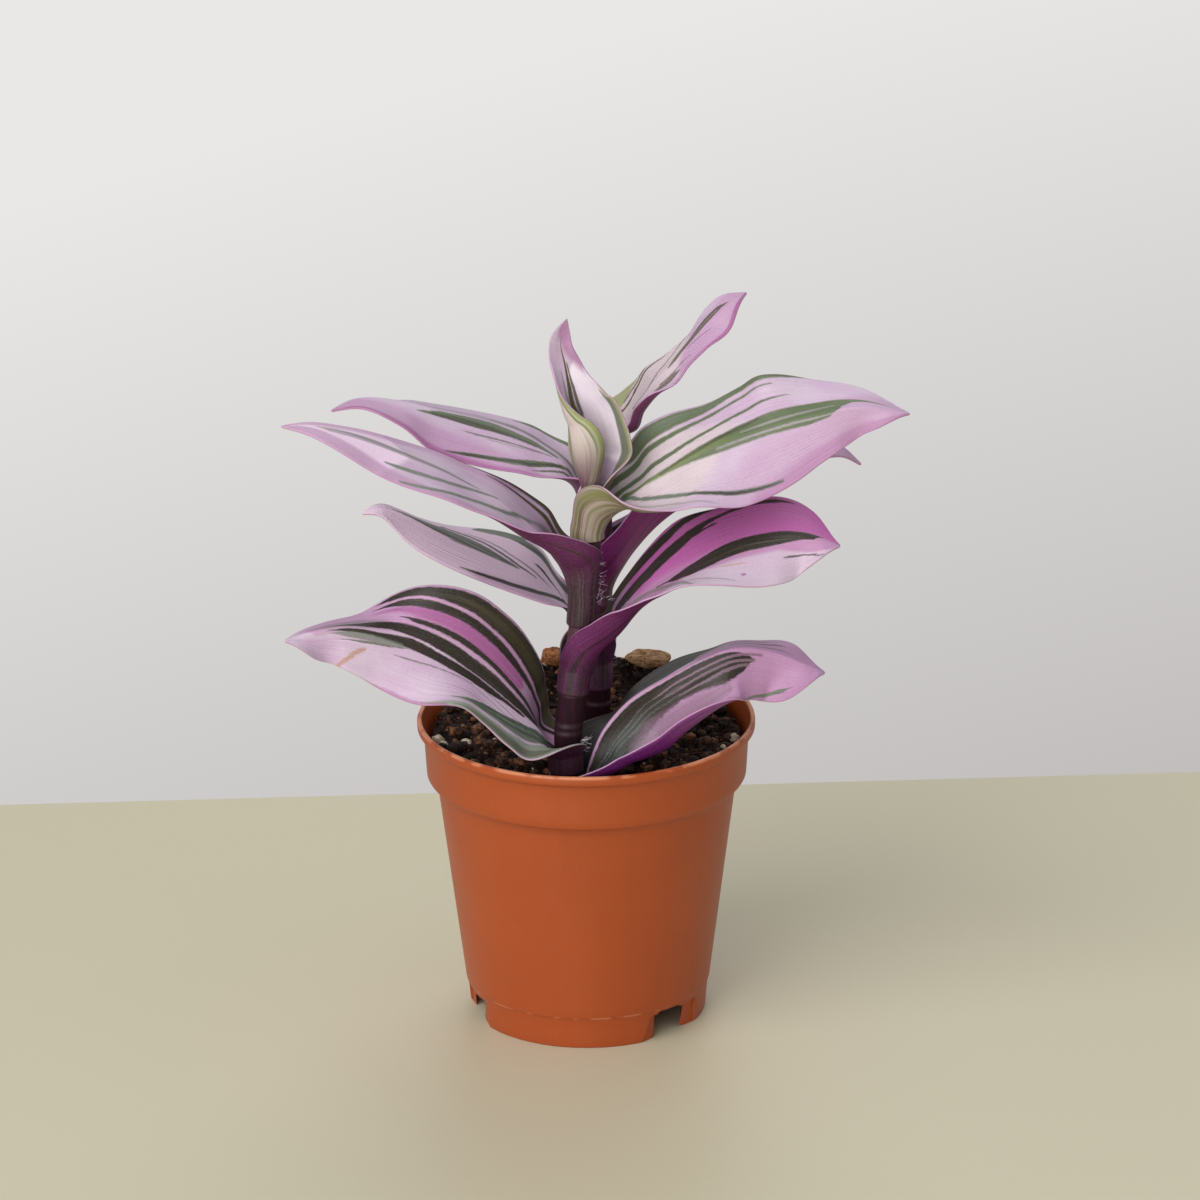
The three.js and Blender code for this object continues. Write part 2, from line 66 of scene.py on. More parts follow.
class Wire:  # a socket that takes part in sums
    def __init__(self, tree, socket):
        self.tree, self.socket = tree, socket

    def node(self, kind, settings=None, inputs=None, output=0):
        made = self.tree.nodes.new(kind)
        for key, value in (settings or {}).items():
            if key == "stops":
                fillRamp(made.color_ramp, value)
            else:
                setattr(made, key, value)
        for key, value in (inputs or {}).items():
            if isinstance(value, Wire):
                self.tree.links.new(value.socket, made.inputs[key])
            else:
                made.inputs[key].default_value = value
        return Wire(self.tree, made.outputs[output])

    def math(self, operation, a, b=0.0, clamp=False):
        return self.node("ShaderNodeMath", {"operation": operation, "use_clamp": clamp}, {0: a, 1: b})

    def __add__(self, other):
        return self.math("ADD", self, other)

    def __sub__(self, other):
        return self.math("SUBTRACT", self, other)

    def __rsub__(self, other):
        return self.math("SUBTRACT", other, self)

    def __mul__(self, other):
        return self.math("MULTIPLY", self, other)

    __radd__, __rmul__ = __add__, __mul__

    def edge(self, low, high):  # 0 below low, 1 above high, smooth between
        settings = {"interpolation_type": "SMOOTHSTEP", "clamp": True}
        return self.node("ShaderNodeMapRange", settings, {"Value": self, "From Min": low, "From Max": high})

    def mix(self, first, second, blend="MIX"):  # this value is the share of the second colour
        settings = {"data_type": "RGBA", "blend_type": blend, "clamp_factor": True}
        return self.node("ShaderNodeMix", settings, {0: self, 6: first, 7: second}, 2)

    def split(self, axis):
        return self.node("ShaderNodeSeparateXYZ", None, {0: self}, axis)

    def join(self, y, z):
        return self.node("ShaderNodeCombineXYZ", None, {0: self, 1: y, 2: z})


def fillRamp(ramp, stops):
    ramp.interpolation = stops[0]
    while len(ramp.elements) > 1:
        ramp.elements.remove(ramp.elements[-1])
    for i, (position, colour) in enumerate(stops[1]):
        element = ramp.elements[0] if i == 0 else ramp.elements.new(position)
        element.position = position
        element.color = colour


def newMaterial(name, **fixed):
    material = bpy.data.materials.new(name)
    material.use_nodes = True
    tree = material.node_tree
    shader = tree.nodes["Principled BSDF"]
    for key, value in fixed.items():
        shader.inputs[key.replace("_", " ")].default_value = value
    material.diffuse_color = shader.inputs["Base Color"].default_value
    return material, Wire(tree, None), shader


def feed(wire, shader, socket):
    wire.tree.links.new(wire.socket, shader.inputs[socket])


def grain(sheet, vector, scale, detail=3.0, roughness=0.5, distortion=0.0):
    inputs = {"Vector": vector, "Scale": scale, "Detail": detail, "Roughness": roughness,
              "Distortion": distortion}
    return sheet.node("ShaderNodeTexNoise", None, inputs)


def onObject(sheet):  # where a point is on its object, in metres
    return sheet.node("ShaderNodeTexCoord", None, None, 3)


def stretched(sheet, where, scale=(1, 1, 1), turn=(0, 0, 0)):
    return sheet.node("ShaderNodeMapping", None, {"Vector": where, "Scale": scale, "Rotation": turn})


def grown(bm, geom, kind):  # extrudes faces and gives back the new parts of one kind
    made = bmesh.ops.extrude_face_region(bm, geom=geom)["geom"]
    return [g for g in made if isinstance(g, kind)]


def bump(sheet, height, strength, distance, shader, under=None):
    inputs = {"Strength": strength, "Distance": distance, "Height": height}
    if under:
        inputs["Normal"] = under
    made = sheet.node("ShaderNodeBump", None, inputs)
    feed(made, shader, "Normal")
    return made


def addPiece(name, bm, materials, replaces=None, smooth=True):
    mesh = bpy.data.meshes.new(name)
    bm.to_mesh(mesh)
    bm.free()
    piece = bpy.data.objects.new(name, mesh)
    bpy.context.scene.collection.objects.link(piece)
    for material in materials:
        mesh.materials.append(material)
    if smooth:
        mesh.polygons.foreach_set("use_smooth", [True] * len(mesh.polygons))
    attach(piece, "root")
    if replaces:
        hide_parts(replaces)
    return piece


cameraSet = {"target": (3.25, 0, 97.5), "distance": 1500, "pitch": 20.2, "roll": 0.35,
             "focal": 6713, "frame": 1200}

pitch, roll = math.radians(cameraSet["pitch"]), math.radians(cameraSet["roll"])
back = Vector((0, -math.cos(pitch), math.sin(pitch)))
level = Vector((1, 0, 0))
lift = back.cross(level)
right = level * math.cos(roll) - lift * math.sin(roll)
top = level * math.sin(roll) + lift * math.cos(roll)
eye = place(*cameraSet["target"]) + back * cameraSet["distance"] * mm
lens = bpy.data.cameras.new("photoCamera")
lens.sensor_width = 36
lens.lens = cameraSet["focal"] / cameraSet["frame"] * lens.sensor_width
lens.clip_end = 20
camera = bpy.data.objects.new("photoCamera", lens)
turn = Matrix((right, top, back)).transposed().to_4x4()
turn.translation = eye
camera.matrix_world = turn
bpy.context.scene.collection.objects.link(camera)
bpy.context.scene.camera = camera


def onFloor(column, row):  # the floor point that a point of the picture shows
    half, focal = cameraSet["frame"] / 2, cameraSet["focal"]
    ray = right * (column - half) - top * (row - half) - back * focal
    return eye - ray * (eye.z / ray.z)


print("camera placed")

floorSet = {"farLeft": (0, 805), "farRight": (1200, 772), "nearEdge": -1.2, "reach": 2.2,
            "thickness": 0.02, "colour": rgb(211, 204, 177), "cloud": rgb(196, 188, 160), "roughness": 0.42}
wallSet = {"light": (0.95, 0.97, 1, 1), "strength": 0.42, "dim": rgb(180, 176, 175),
           "bright": rgb(233, 232, 230), "rise": -6.33, "sideways": 1.6, "start": 1.68}
lightSet = {
    "key": {"from": (-800, -950, 1200), "size": 1400, "power": 14.5, "colour": (1, 0.985, 0.96)},
    "front": {"from": (-550, -1650, 420), "size": 1200, "power": 12, "colour": (1, 1, 1)},
    "rim": {"from": (200, 900, 1100), "size": 900, "power": 4, "colour": (1, 1, 1)},
}


def makeFloor():
    bm = bmesh.new()
    bmesh.ops.create_grid(bm, x_segments=1, y_segments=1, size=1)
    start, end = onFloor(*floorSet["farLeft"]), onFloor(*floorSet["farRight"])
    slope = (end.y - start.y) / (end.x - start.x)
    for v in bm.verts:
        x = v.co.x * floorSet["reach"]
        far = start.y + slope * (x - start.x)
        v.co = (x, far if v.co.y > 0 else floorSet["nearEdge"], 0)
    low = grown(bm, bm.faces[:], bmesh.types.BMVert)
    bmesh.ops.translate(bm, verts=low, vec=(0, 0, -floorSet["thickness"]))
    bmesh.ops.recalc_face_normals(bm, faces=bm.faces)
    mesh = bpy.data.meshes.new("floor")
    bm.to_mesh(mesh)
    bm.free()
    floor = bpy.data.objects.new("floor", mesh)
    bpy.context.scene.collection.objects.link(floor)
    material, sheet, shader = newMaterial("floorBoard", Roughness=floorSet["roughness"],
                                          Specular_IOR_Level=0.35)
    cloud = grain(sheet, onObject(sheet), 3.0, 4.0)
    feed((cloud * 0.5).mix(floorSet["colour"], floorSet["cloud"]), shader, "Base Color")
    mesh.materials.append(material)


def makeLight():
    for name, one in lightSet.items():
        lamp = bpy.data.lights.new(name, "AREA")
        lamp.shape, lamp.size, lamp.energy = "DISK", one["size"] * mm, one["power"]
        lamp.color = one["colour"]
        body = bpy.data.objects.new(name, lamp)
        body.location = place(*one["from"])
        aim = place(0, 0, 70) - body.location
        body.rotation_euler = aim.to_track_quat("-Z", "Y").to_euler()
        bpy.context.scene.collection.objects.link(body)
    world = bpy.data.worlds.new("wall")
    bpy.context.scene.world = world
    world.use_nodes = True
    sheet = Wire(world.node_tree, None)
    glow = sheet.node("ShaderNodeBackground", None, {0: wallSet["light"], 1: wallSet["strength"]})
    heading = sheet.node("ShaderNodeTexCoord")
    slope = heading.split(2) * wallSet["rise"] + heading.split(0) * wallSet["sideways"]
    tone = slope.math("SUBTRACT", slope, wallSet["start"], True).mix(wallSet["bright"], wallSet["dim"])
    wall = sheet.node("ShaderNodeBackground", None, {0: tone, 1: 1.0})
    seen = sheet.node("ShaderNodeLightPath")
    both = sheet.node("ShaderNodeMixShader", None, {0: seen, 1: glow, 2: wall})
    world.node_tree.links.new(both.socket, world.node_tree.nodes["World Output"].inputs[0])
    bpy.context.scene.view_settings.view_transform = "Standard"


makeFloor()
makeLight()
print("floor and light made")

potSet = {"wallFoot": (27.7, 7.5), "wallTop": (33.9, 56.5), "wall": 1, "notches": [42.5, 162.5, 282.5],
          "notchDepth": (17.5, 31), "recessDepth": (26.42, 31), "steps": 192, "lipFrom": 66,
          "ledge": (0.0071, 0.0074, 0.0075, 0.0079), "lip": (0.0690, 0.0697),
          "colour": rgb(174, 78, 30), "dark": rgb(150, 61, 22), "pale": rgb(228, 150, 108)}


def wallRadius(height):
    (low, start), (high, end) = potSet["wallFoot"], potSet["wallTop"]
    return low + (height - start) / (end - start) * (high - low)


def rounded(corner, radius, start, end, count=5):  # points of a rounded corner in radius and height
    angles = [math.radians(start + (end - start) * i / count) for i in range(count + 1)]
    return [(corner[0] + radius * math.cos(a), corner[1] + radius * math.sin(a)) for a in angles]


def potProfile():
    wall = wallRadius
    outside = [(0.0, 6.5), (22, 6.5), (25.6, 6.4), (25.8, 5.8), (25.5, 0.5)]
    outside += rounded((25.9, 0.35), 0.35, 180, 270, 3) + rounded((26.4, 0.35), 0.35, 270, 350, 3)
    outside += [(27.0, 3.5), (27.42, 7.2), (27.5, 7.38), (wall(7.5) - 0.05, 7.46), (wall(7.7), 7.7)]
    outside += [(wall(h), h) for h in (10, 20, 30, 40, 50, 54)]
    outside += [(wall(55.9), 55.9), (34.15, 56.25), (35.2, 56.42), (35.75, 56.55), (35.98, 56.95)]
    outside += [(36.1, 58.5), (36.3, 62), (36.55, 66.6), (36.7, 67.2), (37.2, 67.5), (37.75, 67.65)]
    outside += [(37.98, 67.95), (38.02, 68.6)] + rounded((37.6, 69.55), 0.42, 0, 90, 4)
    outside += rounded((37.35, 69.6), 0.38, 90, 180, 3)
    outside += [(36.75, 68.6), (36.3, 67.6), (35.4, 62), (34.95, 57.7), (33.1, 57.5)]
    outside += [(wall(h) - potSet["wall"], h) for h in (56, 50, 40, 30, 20, 9.5)] + [(25.8, 8.0), (0.0, 8.0)]
    return outside


def sector(outline, azimuth, inner, outer):  # an outline of angle and height, thickened from inner to outer
    bm = bmesh.new()
    points = []
    for angle, height in outline:
        a = math.radians(azimuth + angle - 90)
        points.append(bm.verts.new((inner * math.cos(a), inner * math.sin(a), height)))
    moved = grown(bm, [bm.faces.new(points)], bmesh.types.BMVert)
    bmesh.ops.scale(bm, verts=moved, vec=(outer / inner, outer / inner, 1))
    bmesh.ops.recalc_face_normals(bm, faces=bm.faces)
    settle(bm)
    mesh = bpy.data.meshes.new("cutter")
    bm.to_mesh(mesh)
    bm.free()
    cutter = bpy.data.objects.new("cutter", mesh)
    bpy.context.scene.collection.objects.link(cutter)
    return cutter


def makePotMaterial():
    material, sheet, shader = newMaterial("orangePlastic", Specular_IOR_Level=0.45)
    where = onObject(sheet)
    height = where.split(2)
    cloud = grain(sheet, where, 45.0, 3.0)
    streak = grain(sheet, stretched(sheet, where, (260, 260, 22)), 1.0, 4.0)
    fine = grain(sheet, where, 2600.0, 2.0)
    body = (cloud * 0.55).mix(potSet["colour"], potSet["dark"])
    body = (streak.edge(0.55, 0.85) * 0.22).mix(body, potSet["dark"])
    body = (fine.edge(0.6, 0.8) * 0.12).mix(body, potSet["pale"])
    # A paler line along the step near the foot, broken by noise: partly scuffing, partly a painted highlight.
    low, full, falling, high = potSet["ledge"]
    ledge = height.edge(low, full) * (1 - height.edge(falling, high))
    # noise that breaks the pale marks below, which are partly wear and partly painted highlight
    wearAndHighlight = grain(sheet, where, 220.0, 3.0)
    body = (ledge * wearAndHighlight.edge(0.5, 0.62) * 0.5).mix(body, potSet["pale"])
    # The rim's top is paler: partly wear, partly a painted highlight.
    lip = height.edge(*potSet["lip"]) * wearAndHighlight.edge(0.36, 0.56)
    body = (lip * 0.7).mix(body, potSet["pale"])
    feed(body, shader, "Base Color")
    feed(cloud * 0.16 + fine * 0.08 + 0.30, shader, "Roughness")
    rough = bump(sheet, fine, 0.10, 0.0002, shader)
    bump(sheet, streak, 0.10, 0.0004, shader, rough)
    return material


def makePot():
    bm = bmesh.new()
    verts = [bm.verts.new((radius, 0, height)) for radius, height in potProfile()]
    edges = [bm.edges.new(pair) for pair in zip(verts, verts[1:])]
    bmesh.ops.spin(bm, geom=verts + edges, cent=(0, 0, 0), axis=(0, 0, 1), dvec=(0, 0, 0),
                   angle=2 * math.pi, steps=potSet["steps"], use_merge=True, use_duplicate=False)
    bmesh.ops.remove_doubles(bm, verts=bm.verts, dist=0.002)
    bmesh.ops.recalc_face_normals(bm, faces=bm.faces)
    for v in bm.verts:
        uneven = noise.noise(Vector((v.co.x, v.co.y, 3)) * 0.11) * 0.9 + noise.noise(v.co * 0.5) * 0.25
        share = max(0, (v.co.z - potSet["lipFrom"]) / 4)
        wider = 1 + 0.004 * uneven * share
        v.co = place(v.co.x * wider, v.co.y * wider, v.co.z + (0.16 * uneven - 0.1) * share)
    pot = addPiece("nurseryPot", bm, [makePotMaterial()], "pot")
    notch = [(-7.6, -1), (7.6, -1), (7.5, 6.2), (6.9, 6.9), (-6.9, 6.9), (-7.5, 6.2)]
    recess = [(-15.6, -1), (21, -1), (21, 5.4), (20, 6.3), (-10.6, 6.3), (-11.4, 5.9)]
    cutters = []
    for azimuth in potSet["notches"]:
        cutters.append(sector(notch, azimuth, *potSet["notchDepth"]))
        cutters.append(sector(recess, azimuth, *potSet["recessDepth"]))
    for cutter in cutters:
        cut = pot.modifiers.new("cut", "BOOLEAN")
        cut.object, cut.operation, cut.solver = cutter, "DIFFERENCE", "EXACT"
    bpy.context.view_layer.update()
    solid = bpy.data.meshes.new_from_object(pot.evaluated_get(bpy.context.evaluated_depsgraph_get()))
    pot.modifiers.clear()
    pot.data = solid
    for cutter in cutters:
        bpy.data.objects.remove(cutter)
    edges = pot.modifiers.new("edges", "BEVEL")
    edges.width, edges.segments, edges.limit_method, edges.angle_limit = 0.0002, 2, "ANGLE", math.radians(50)
    edges.harden_normals = False
    pot.data.polygons.foreach_set("use_smooth", [True] * len(pot.data.polygons))


makePot()
print("pot made")

peatSet = {"level": 66.8, "radius": 34.55, "cells": 170, "crumbs": 1500, "fibres": 260, "grains": 46,
           "grainReach": 33, "seed": 5, "grainSeed": 11, "wallFrom": 0.95,
           "below": ((58.5, 0.985), (57.9, 0.93), (30, 0.84), (8.4, 0.745)),
           "stems": ((-4.5, -23, 6.4), (2.5, 0, 3.8))}


def smooth(share):
    share = min(max(share, 0), 1)
    return share * share * (3 - 2 * share)


def peatHeight(x, y):
    bank = smooth((y - 8) / 24) * math.exp(-((x - 3) / 22) ** 2)
    hollow = math.exp(-((x - 1) / 13) ** 2 - ((y + 26) / 10) ** 2)
    lumps = 0.7 * math.sin(0.41 * x + 1.3) * math.cos(0.37 * y) + 0.4 * math.sin(0.93 * x - 0.71 * y)
    return peatSet["level"] + 5.4 * bank - 8 * hollow + lumps


def soilTop(x, y):
    return peatHeight(x, y) + crumbly(x, y)


def clearance(x, y):  # from a spot to the room that the nearest stem needs
    return min(math.hypot(x - a, y - b) - room for a, b, room in peatSet["stems"])


def crumbly(x, y):
    at = Vector((x, y, 0))
    coarse = noise.noise(at * 0.32) * 1.2 + noise.noise(at * 0.9) * 0.8
    return coarse + noise.noise(at * 2.3) * 0.3 - 0.35


def makePeatMaterial():
    material, sheet, shader = newMaterial("peat", Roughness=0.9, Specular_IOR_Level=0.25)
    where = onObject(sheet)
    coarse = grain(sheet, where, 420.0, 5.0, 0.65)
    fine = grain(sheet, where, 1700.0, 4.0, 0.6)
    fibre = grain(sheet, stretched(sheet, where, (500, 1700, 1700), (0.3, 0.2, 0.7)), 1.0, 3.0)
    colour = coarse.edge(0.35, 0.7).mix(rgb(16, 10, 9), rgb(56, 36, 27))
    colour = (fine.edge(0.56, 0.72) * 0.75).mix(colour, rgb(104, 66, 44))
    colour = (fibre.edge(0.6, 0.74) * 0.6).mix(colour, rgb(128, 84, 56))
    feed(colour, shader, "Base Color")
    rough = bump(sheet, coarse, 0.8, 0.0012, shader)
    bump(sheet, fine, 0.8, 0.0005, shader, rough)
    return material


def lumpMaterial(name, dark, light, gloss=0.85):
    material, sheet, shader = newMaterial(name, Roughness=gloss, Specular_IOR_Level=0.25)
    where = onObject(sheet)
    tone = grain(sheet, where, 900.0, 4.0, 0.6)
    feed(tone.edge(0.35, 0.68).mix(dark, light), shader, "Base Color")
    bump(sheet, tone, 0.7, 0.0004, shader)
    return material


def makePeat():
    bm = bmesh.new()
    cells = peatSet["cells"]
    bmesh.ops.create_grid(bm, x_segments=cells, y_segments=cells, size=1)
    for v in bm.verts:  # the square's rings become circles
        x, y = v.co.x, v.co.y
        reach = max(abs(x), abs(y))
        length = math.hypot(x, y)
        share = reach / length if length > 0 else 0
        x, y = x * share * peatSet["radius"], y * share * peatSet["radius"]
        wall = smooth((reach - peatSet["wallFrom"]) / (1 - peatSet["wallFrom"]))
        v.co = (x, y, peatHeight(x, y) + crumbly(x, y) * (1 - 0.5 * wall) - 0.8 * wall)
    rim = [e for e in bm.edges if e.is_boundary]
    for drop, scale in peatSet["below"]:
        made = bmesh.ops.extrude_edge_only(bm, edges=rim)
        ring = [g for g in made["geom"] if isinstance(g, bmesh.types.BMVert)]
        rim = [g for g in made["geom"] if isinstance(g, bmesh.types.BMEdge)]
        for v in ring:
            flat = Vector((v.co.x, v.co.y, 0)).normalized() * peatSet["radius"] * scale
            v.co = (flat.x, flat.y, drop)
    bmesh.ops.contextual_create(bm, geom=rim)
    bmesh.ops.recalc_face_normals(bm, faces=bm.faces)
    settle(bm)
    addPiece("peatBed", bm, [makePeatMaterial()], "soil")


def scatter(rng, name, count, materials, build):
    bm = bmesh.new()
    for _ in range(count):
        reach = peatSet["radius"] * 0.985 * math.sqrt(rng.random())
        angle = rng.uniform(0, 2 * math.pi)
        x, y = reach * math.cos(angle), reach * math.sin(angle)
        if clearance(x, y) >= 0:
            build(bm, rng, x, y, soilTop(x, y))
    settle(bm)
    addPiece(name, bm, materials)


def crumb(bm, rng, x, y, z):
    size = rng.choice((0.35, 0.45, 0.6, 0.6, 0.8, 1.1, 1.5, 2)) * rng.uniform(0.8, 1.2)
    made = bmesh.ops.create_icosphere(bm, subdivisions=1, radius=size)["verts"]
    for v in made:
        v.co *= rng.uniform(0.65, 1.2)
    bmesh.ops.scale(bm, verts=made, vec=(1, rng.uniform(0.6, 1), rng.uniform(0.45, 0.8)))
    bmesh.ops.rotate(bm, verts=made, cent=(0, 0, 0), matrix=Matrix.Rotation(rng.uniform(0, 6.3), 3, "Z"))
    bmesh.ops.translate(bm, verts=made, vec=(x, y, z + 0.15 * size))
    tone = rng.choice((0, 0, 1, 1, 2))
    for f in {f for v in made for f in v.link_faces}:
        f.material_index = tone


def strand(bm, points, widths, sides=3):  # a thin closed tube through points
    ahead = (points[1] - points[0]).to_track_quat("Z", "Y").to_matrix()
    ring = bmesh.ops.create_circle(bm, cap_ends=True, segments=sides, radius=widths[0])["verts"]
    bmesh.ops.rotate(bm, verts=ring, cent=(0, 0, 0), matrix=ahead)
    bmesh.ops.translate(bm, verts=ring, vec=points[0])
    cap = ring[0].link_faces[0]
    for at, width in zip(points[1:], widths[1:]):
        cap = grown(bm, [cap], bmesh.types.BMFace)[0]
        middle = sum((v.co for v in cap.verts), Vector()) / len(cap.verts)
        reach = sum((v.co - middle).length for v in cap.verts) / len(cap.verts)
        for v in cap.verts:
            v.co = at + (v.co - middle) * (width / reach)


def fibre(bm, rng, x, y, z):
    length = rng.uniform(1.5, 5.5)
    heading, droop = rng.uniform(0, 6.3), rng.uniform(-0.25, 0.25)
    points = []
    for i in range(4):
        s = (i / 3 - 0.5) * length
        bend = 0.3 * length * (i / 3 - 0.5) ** 2 * rng.uniform(0.4, 1.6)
        px = x + s * math.cos(heading) - bend * math.sin(heading)
        py = y + s * math.sin(heading) + bend * math.cos(heading)
        if math.hypot(px, py) > peatSet["radius"]:
            return
        points.append(Vector((px, py, z + 0.35 + droop * s)))
    width = rng.uniform(0.06, 0.16)
    strand(bm, points, [width * 0.6, width, width, width * 0.5])


peatRandom = random.Random(peatSet["seed"])
makePeat()
crumbTones = [lumpMaterial("crumbDark", rgb(14, 9, 8), rgb(48, 32, 25)),
              lumpMaterial("crumbBrown", rgb(36, 22, 17), rgb(98, 66, 48)),
              lumpMaterial("crumbRusty", rgb(62, 36, 24), rgb(150, 104, 72))]
scatter(peatRandom, "peatCrumbs", peatSet["crumbs"], crumbTones, crumb)
fibreTone = lumpMaterial("fibre", rgb(78, 46, 30), rgb(140, 92, 60))
scatter(peatRandom, "peatFibres", peatSet["fibres"], [fibreTone], fibre)


def perlite(bm, x, y, z, size):
    made = bmesh.ops.create_icosphere(bm, subdivisions=2, radius=size)["verts"]
    for v in made:
        v.co *= 1 + 0.35 * noise.noise(v.co * (1.6 / size) + Vector((x, y, z)))
    bmesh.ops.translate(bm, verts=made, vec=(x, y, z + 0.3 * size))


def makeGrains():
    bm = bmesh.new()
    rng = random.Random(peatSet["grainSeed"])
    spots = [(-33.2, -6.5, 1.6), (-32, -9, 1.1), (-27, -8.5, 1.25), (-26.2, -9.3, 0.7), (33.2, -6, 1.2),
             (32.8, -9, 0.9), (30.5, -12.5, 0.7), (-7, 30.5, 0.9), (-9.5, 29.5, 0.7), (-5, 30, 0.6)]
    for x, y, size in spots:
        perlite(bm, x, y, soilTop(x, y), size)
    for _ in range(peatSet["grains"]):
        reach, angle = peatSet["grainReach"] * math.sqrt(rng.random()), rng.uniform(0, 6.3)
        x, y = reach * math.cos(angle), reach * math.sin(angle)
        if clearance(x, y) > 0.6:
            perlite(bm, x, y, soilTop(x, y), rng.uniform(0.2, 0.5))
    settle(bm)
    white = lumpMaterial("perlite", rgb(176, 158, 124), rgb(236, 228, 208), 0.7)
    addPiece("perliteGrains", bm, [white])


makeGrains()

barkSet = {
    "bark_chip_left": {"size": (5.5, 6.5, 4.2), "turn": 20,
                       "dark": rgb(112, 58, 34), "light": rgb(198, 134, 88), "seed": 3},
    "bark_chip_right": {"size": (10.5, 7, 4), "turn": -12,
                        "dark": rgb(138, 98, 66), "light": rgb(206, 166, 124), "seed": 8},
}


def makeBark(node, one):
    bm = bmesh.new()
    bmesh.ops.create_icosphere(bm, subdivisions=5, radius=0.5)
    for v in bm.verts:
        p = v.co.copy()
        wear = 1 + 0.09 * math.sin(9 * p.x + 4 * p.z) * math.cos(11 * p.y)
        rough = noise.noise(p * 9 + Vector((one["seed"], 0, 0))) * 0.05
        rough += noise.noise(Vector((p.x * 6, p.y * 30, p.z * 30))) * 0.035
        p *= wear * (1 + rough - 0.04)
        v.co = (p.x * one["size"][0], p.y * one["size"][1], p.z * one["size"][2])
    turned = Matrix.Rotation(math.radians(one["turn"]), 3, "Z")
    bmesh.ops.rotate(bm, verts=bm.verts, cent=(0, 0, 0), matrix=turned)
    low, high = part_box(node)
    middle = (low + high) / 2
    for v in bm.verts:
        v.co = middle + v.co * mm
    material, sheet, shader = newMaterial(node + "_bark", Roughness=0.85, Specular_IOR_Level=0.25)
    where = onObject(sheet)
    fibres = grain(sheet, stretched(sheet, where, (350, 1300, 1600), (0, 0, 0.25)), 1.0, 5.0, 0.6, 0.6)
    pits = grain(sheet, where, 1500.0, 3.0)
    colour = fibres.edge(0.3, 0.7).mix(one["dark"], one["light"])
    colour = (pits.edge(0.58, 0.7) * 0.8).mix(colour, rgb(60, 38, 26))
    feed(colour, shader, "Base Color")
    rough = bump(sheet, fibres, 0.8, 0.0005, shader)
    bump(sheet, pits, 0.6, 0.0003, shader, rough)
    addPiece(node + "_worn", bm, [material], node)


for node, one in barkSet.items():
    makeBark(node, one)
print("peat and bark made")

stemSet = {  # x, y, z and radius at each step of a stem
    "stem_front": [(-4.5, -23, 51, 2.5), (-4.5, -23, 61, 2.65), (-4.2, -23, 70, 2.9),
                   (-3.9, -22.7, 76, 3.15), (-3, -22, 82, 3.15), (-2.6, -21.7, 86, 3.1),
                   (-1.9, -21.3, 91, 3.05), (-1, -20.7, 96, 3.05), (-0.5, -20.3, 101, 3.05),
                   (-0.3, -20.1, 107, 3), (0.2, -20, 113, 3), (0.5, -20, 118, 3.1),
                   (0.8, -20, 121, 2.7), (1.7, -20, 126, 1.8)],
    "stem_back": [(2.5, 0, 51, 2.9), (2.5, 0, 64, 3), (2.5, 0, 76, 3.05), (2.5, 0, 86, 3), (2.5, 0, 97.5, 3),
                  (2.5, 0, 109.5, 3), (2.7, 0, 119, 2.7), (2.8, 0.2, 128, 2)],
    "dark": rgb(42, 20, 28), "line": rgb(58, 22, 42), "cloud": rgb(50, 30, 30), "upper": rgb(84, 48, 58),
    "turns": 0.084, "tilt": (0.5, 0.4, 0.3), "end": 0.9999,
}


def makeStemMaterial():
    material, sheet, shader = newMaterial("stemSkin", Roughness=0.55, Specular_IOR_Level=0.3)
    where = onObject(sheet)
    line = grain(sheet, stretched(sheet, where, (900, 900, 40), stemSet["tilt"]), 1.0, 4.0)
    turned = stretched(sheet, where, turn=stemSet["tilt"])
    cloud = grain(sheet, turned, 160.0, 3.0)
    colour = line.edge(0.35, 0.68).mix(stemSet["dark"], stemSet["line"])
    colour = (cloud.edge(0.4, 0.8) * 0.4).mix(colour, stemSet["cloud"])
    # The stem is lighter above 84 mm and darker towards the soil.
    aboveTurn = where.split(2).edge(stemSet["turns"], stemSet["turns"] + 0.002)
    colour = (aboveTurn * 0.85).mix(colour, stemSet["upper"])
    feed(colour, shader, "Base Color")
    bump(sheet, grain(sheet, turned, 2600.0, 2.0), 0.15, 0.0002, shader)
    return material


def bent(before, a, b, after, w, size=np.linalg.norm):  # the smooth curve from a to b, the same as the CAD's
    gaps = (a - before, b - a, after - b)
    d0, d1, d2 = [max(size(gap) ** 0.5, 1e-4) for gap in gaps]
    m1 = ((a - before) / d0 - (b - before) / (d0 + d1) + (b - a) / d1) * d1
    m2 = ((b - a) / d1 - (after - a) / (d1 + d2) + (after - b) / d2) * d1
    return a + m1 * w + (3 * b - 3 * a - 2 * m1 - m2) * w * w + (2 * a - 2 * b + m1 + m2) * w ** 3


def extended(path):  # a path with one step more at each end
    return [path[0] * 2 - path[1]] + path + [path[-1] * 2 - path[-2]]


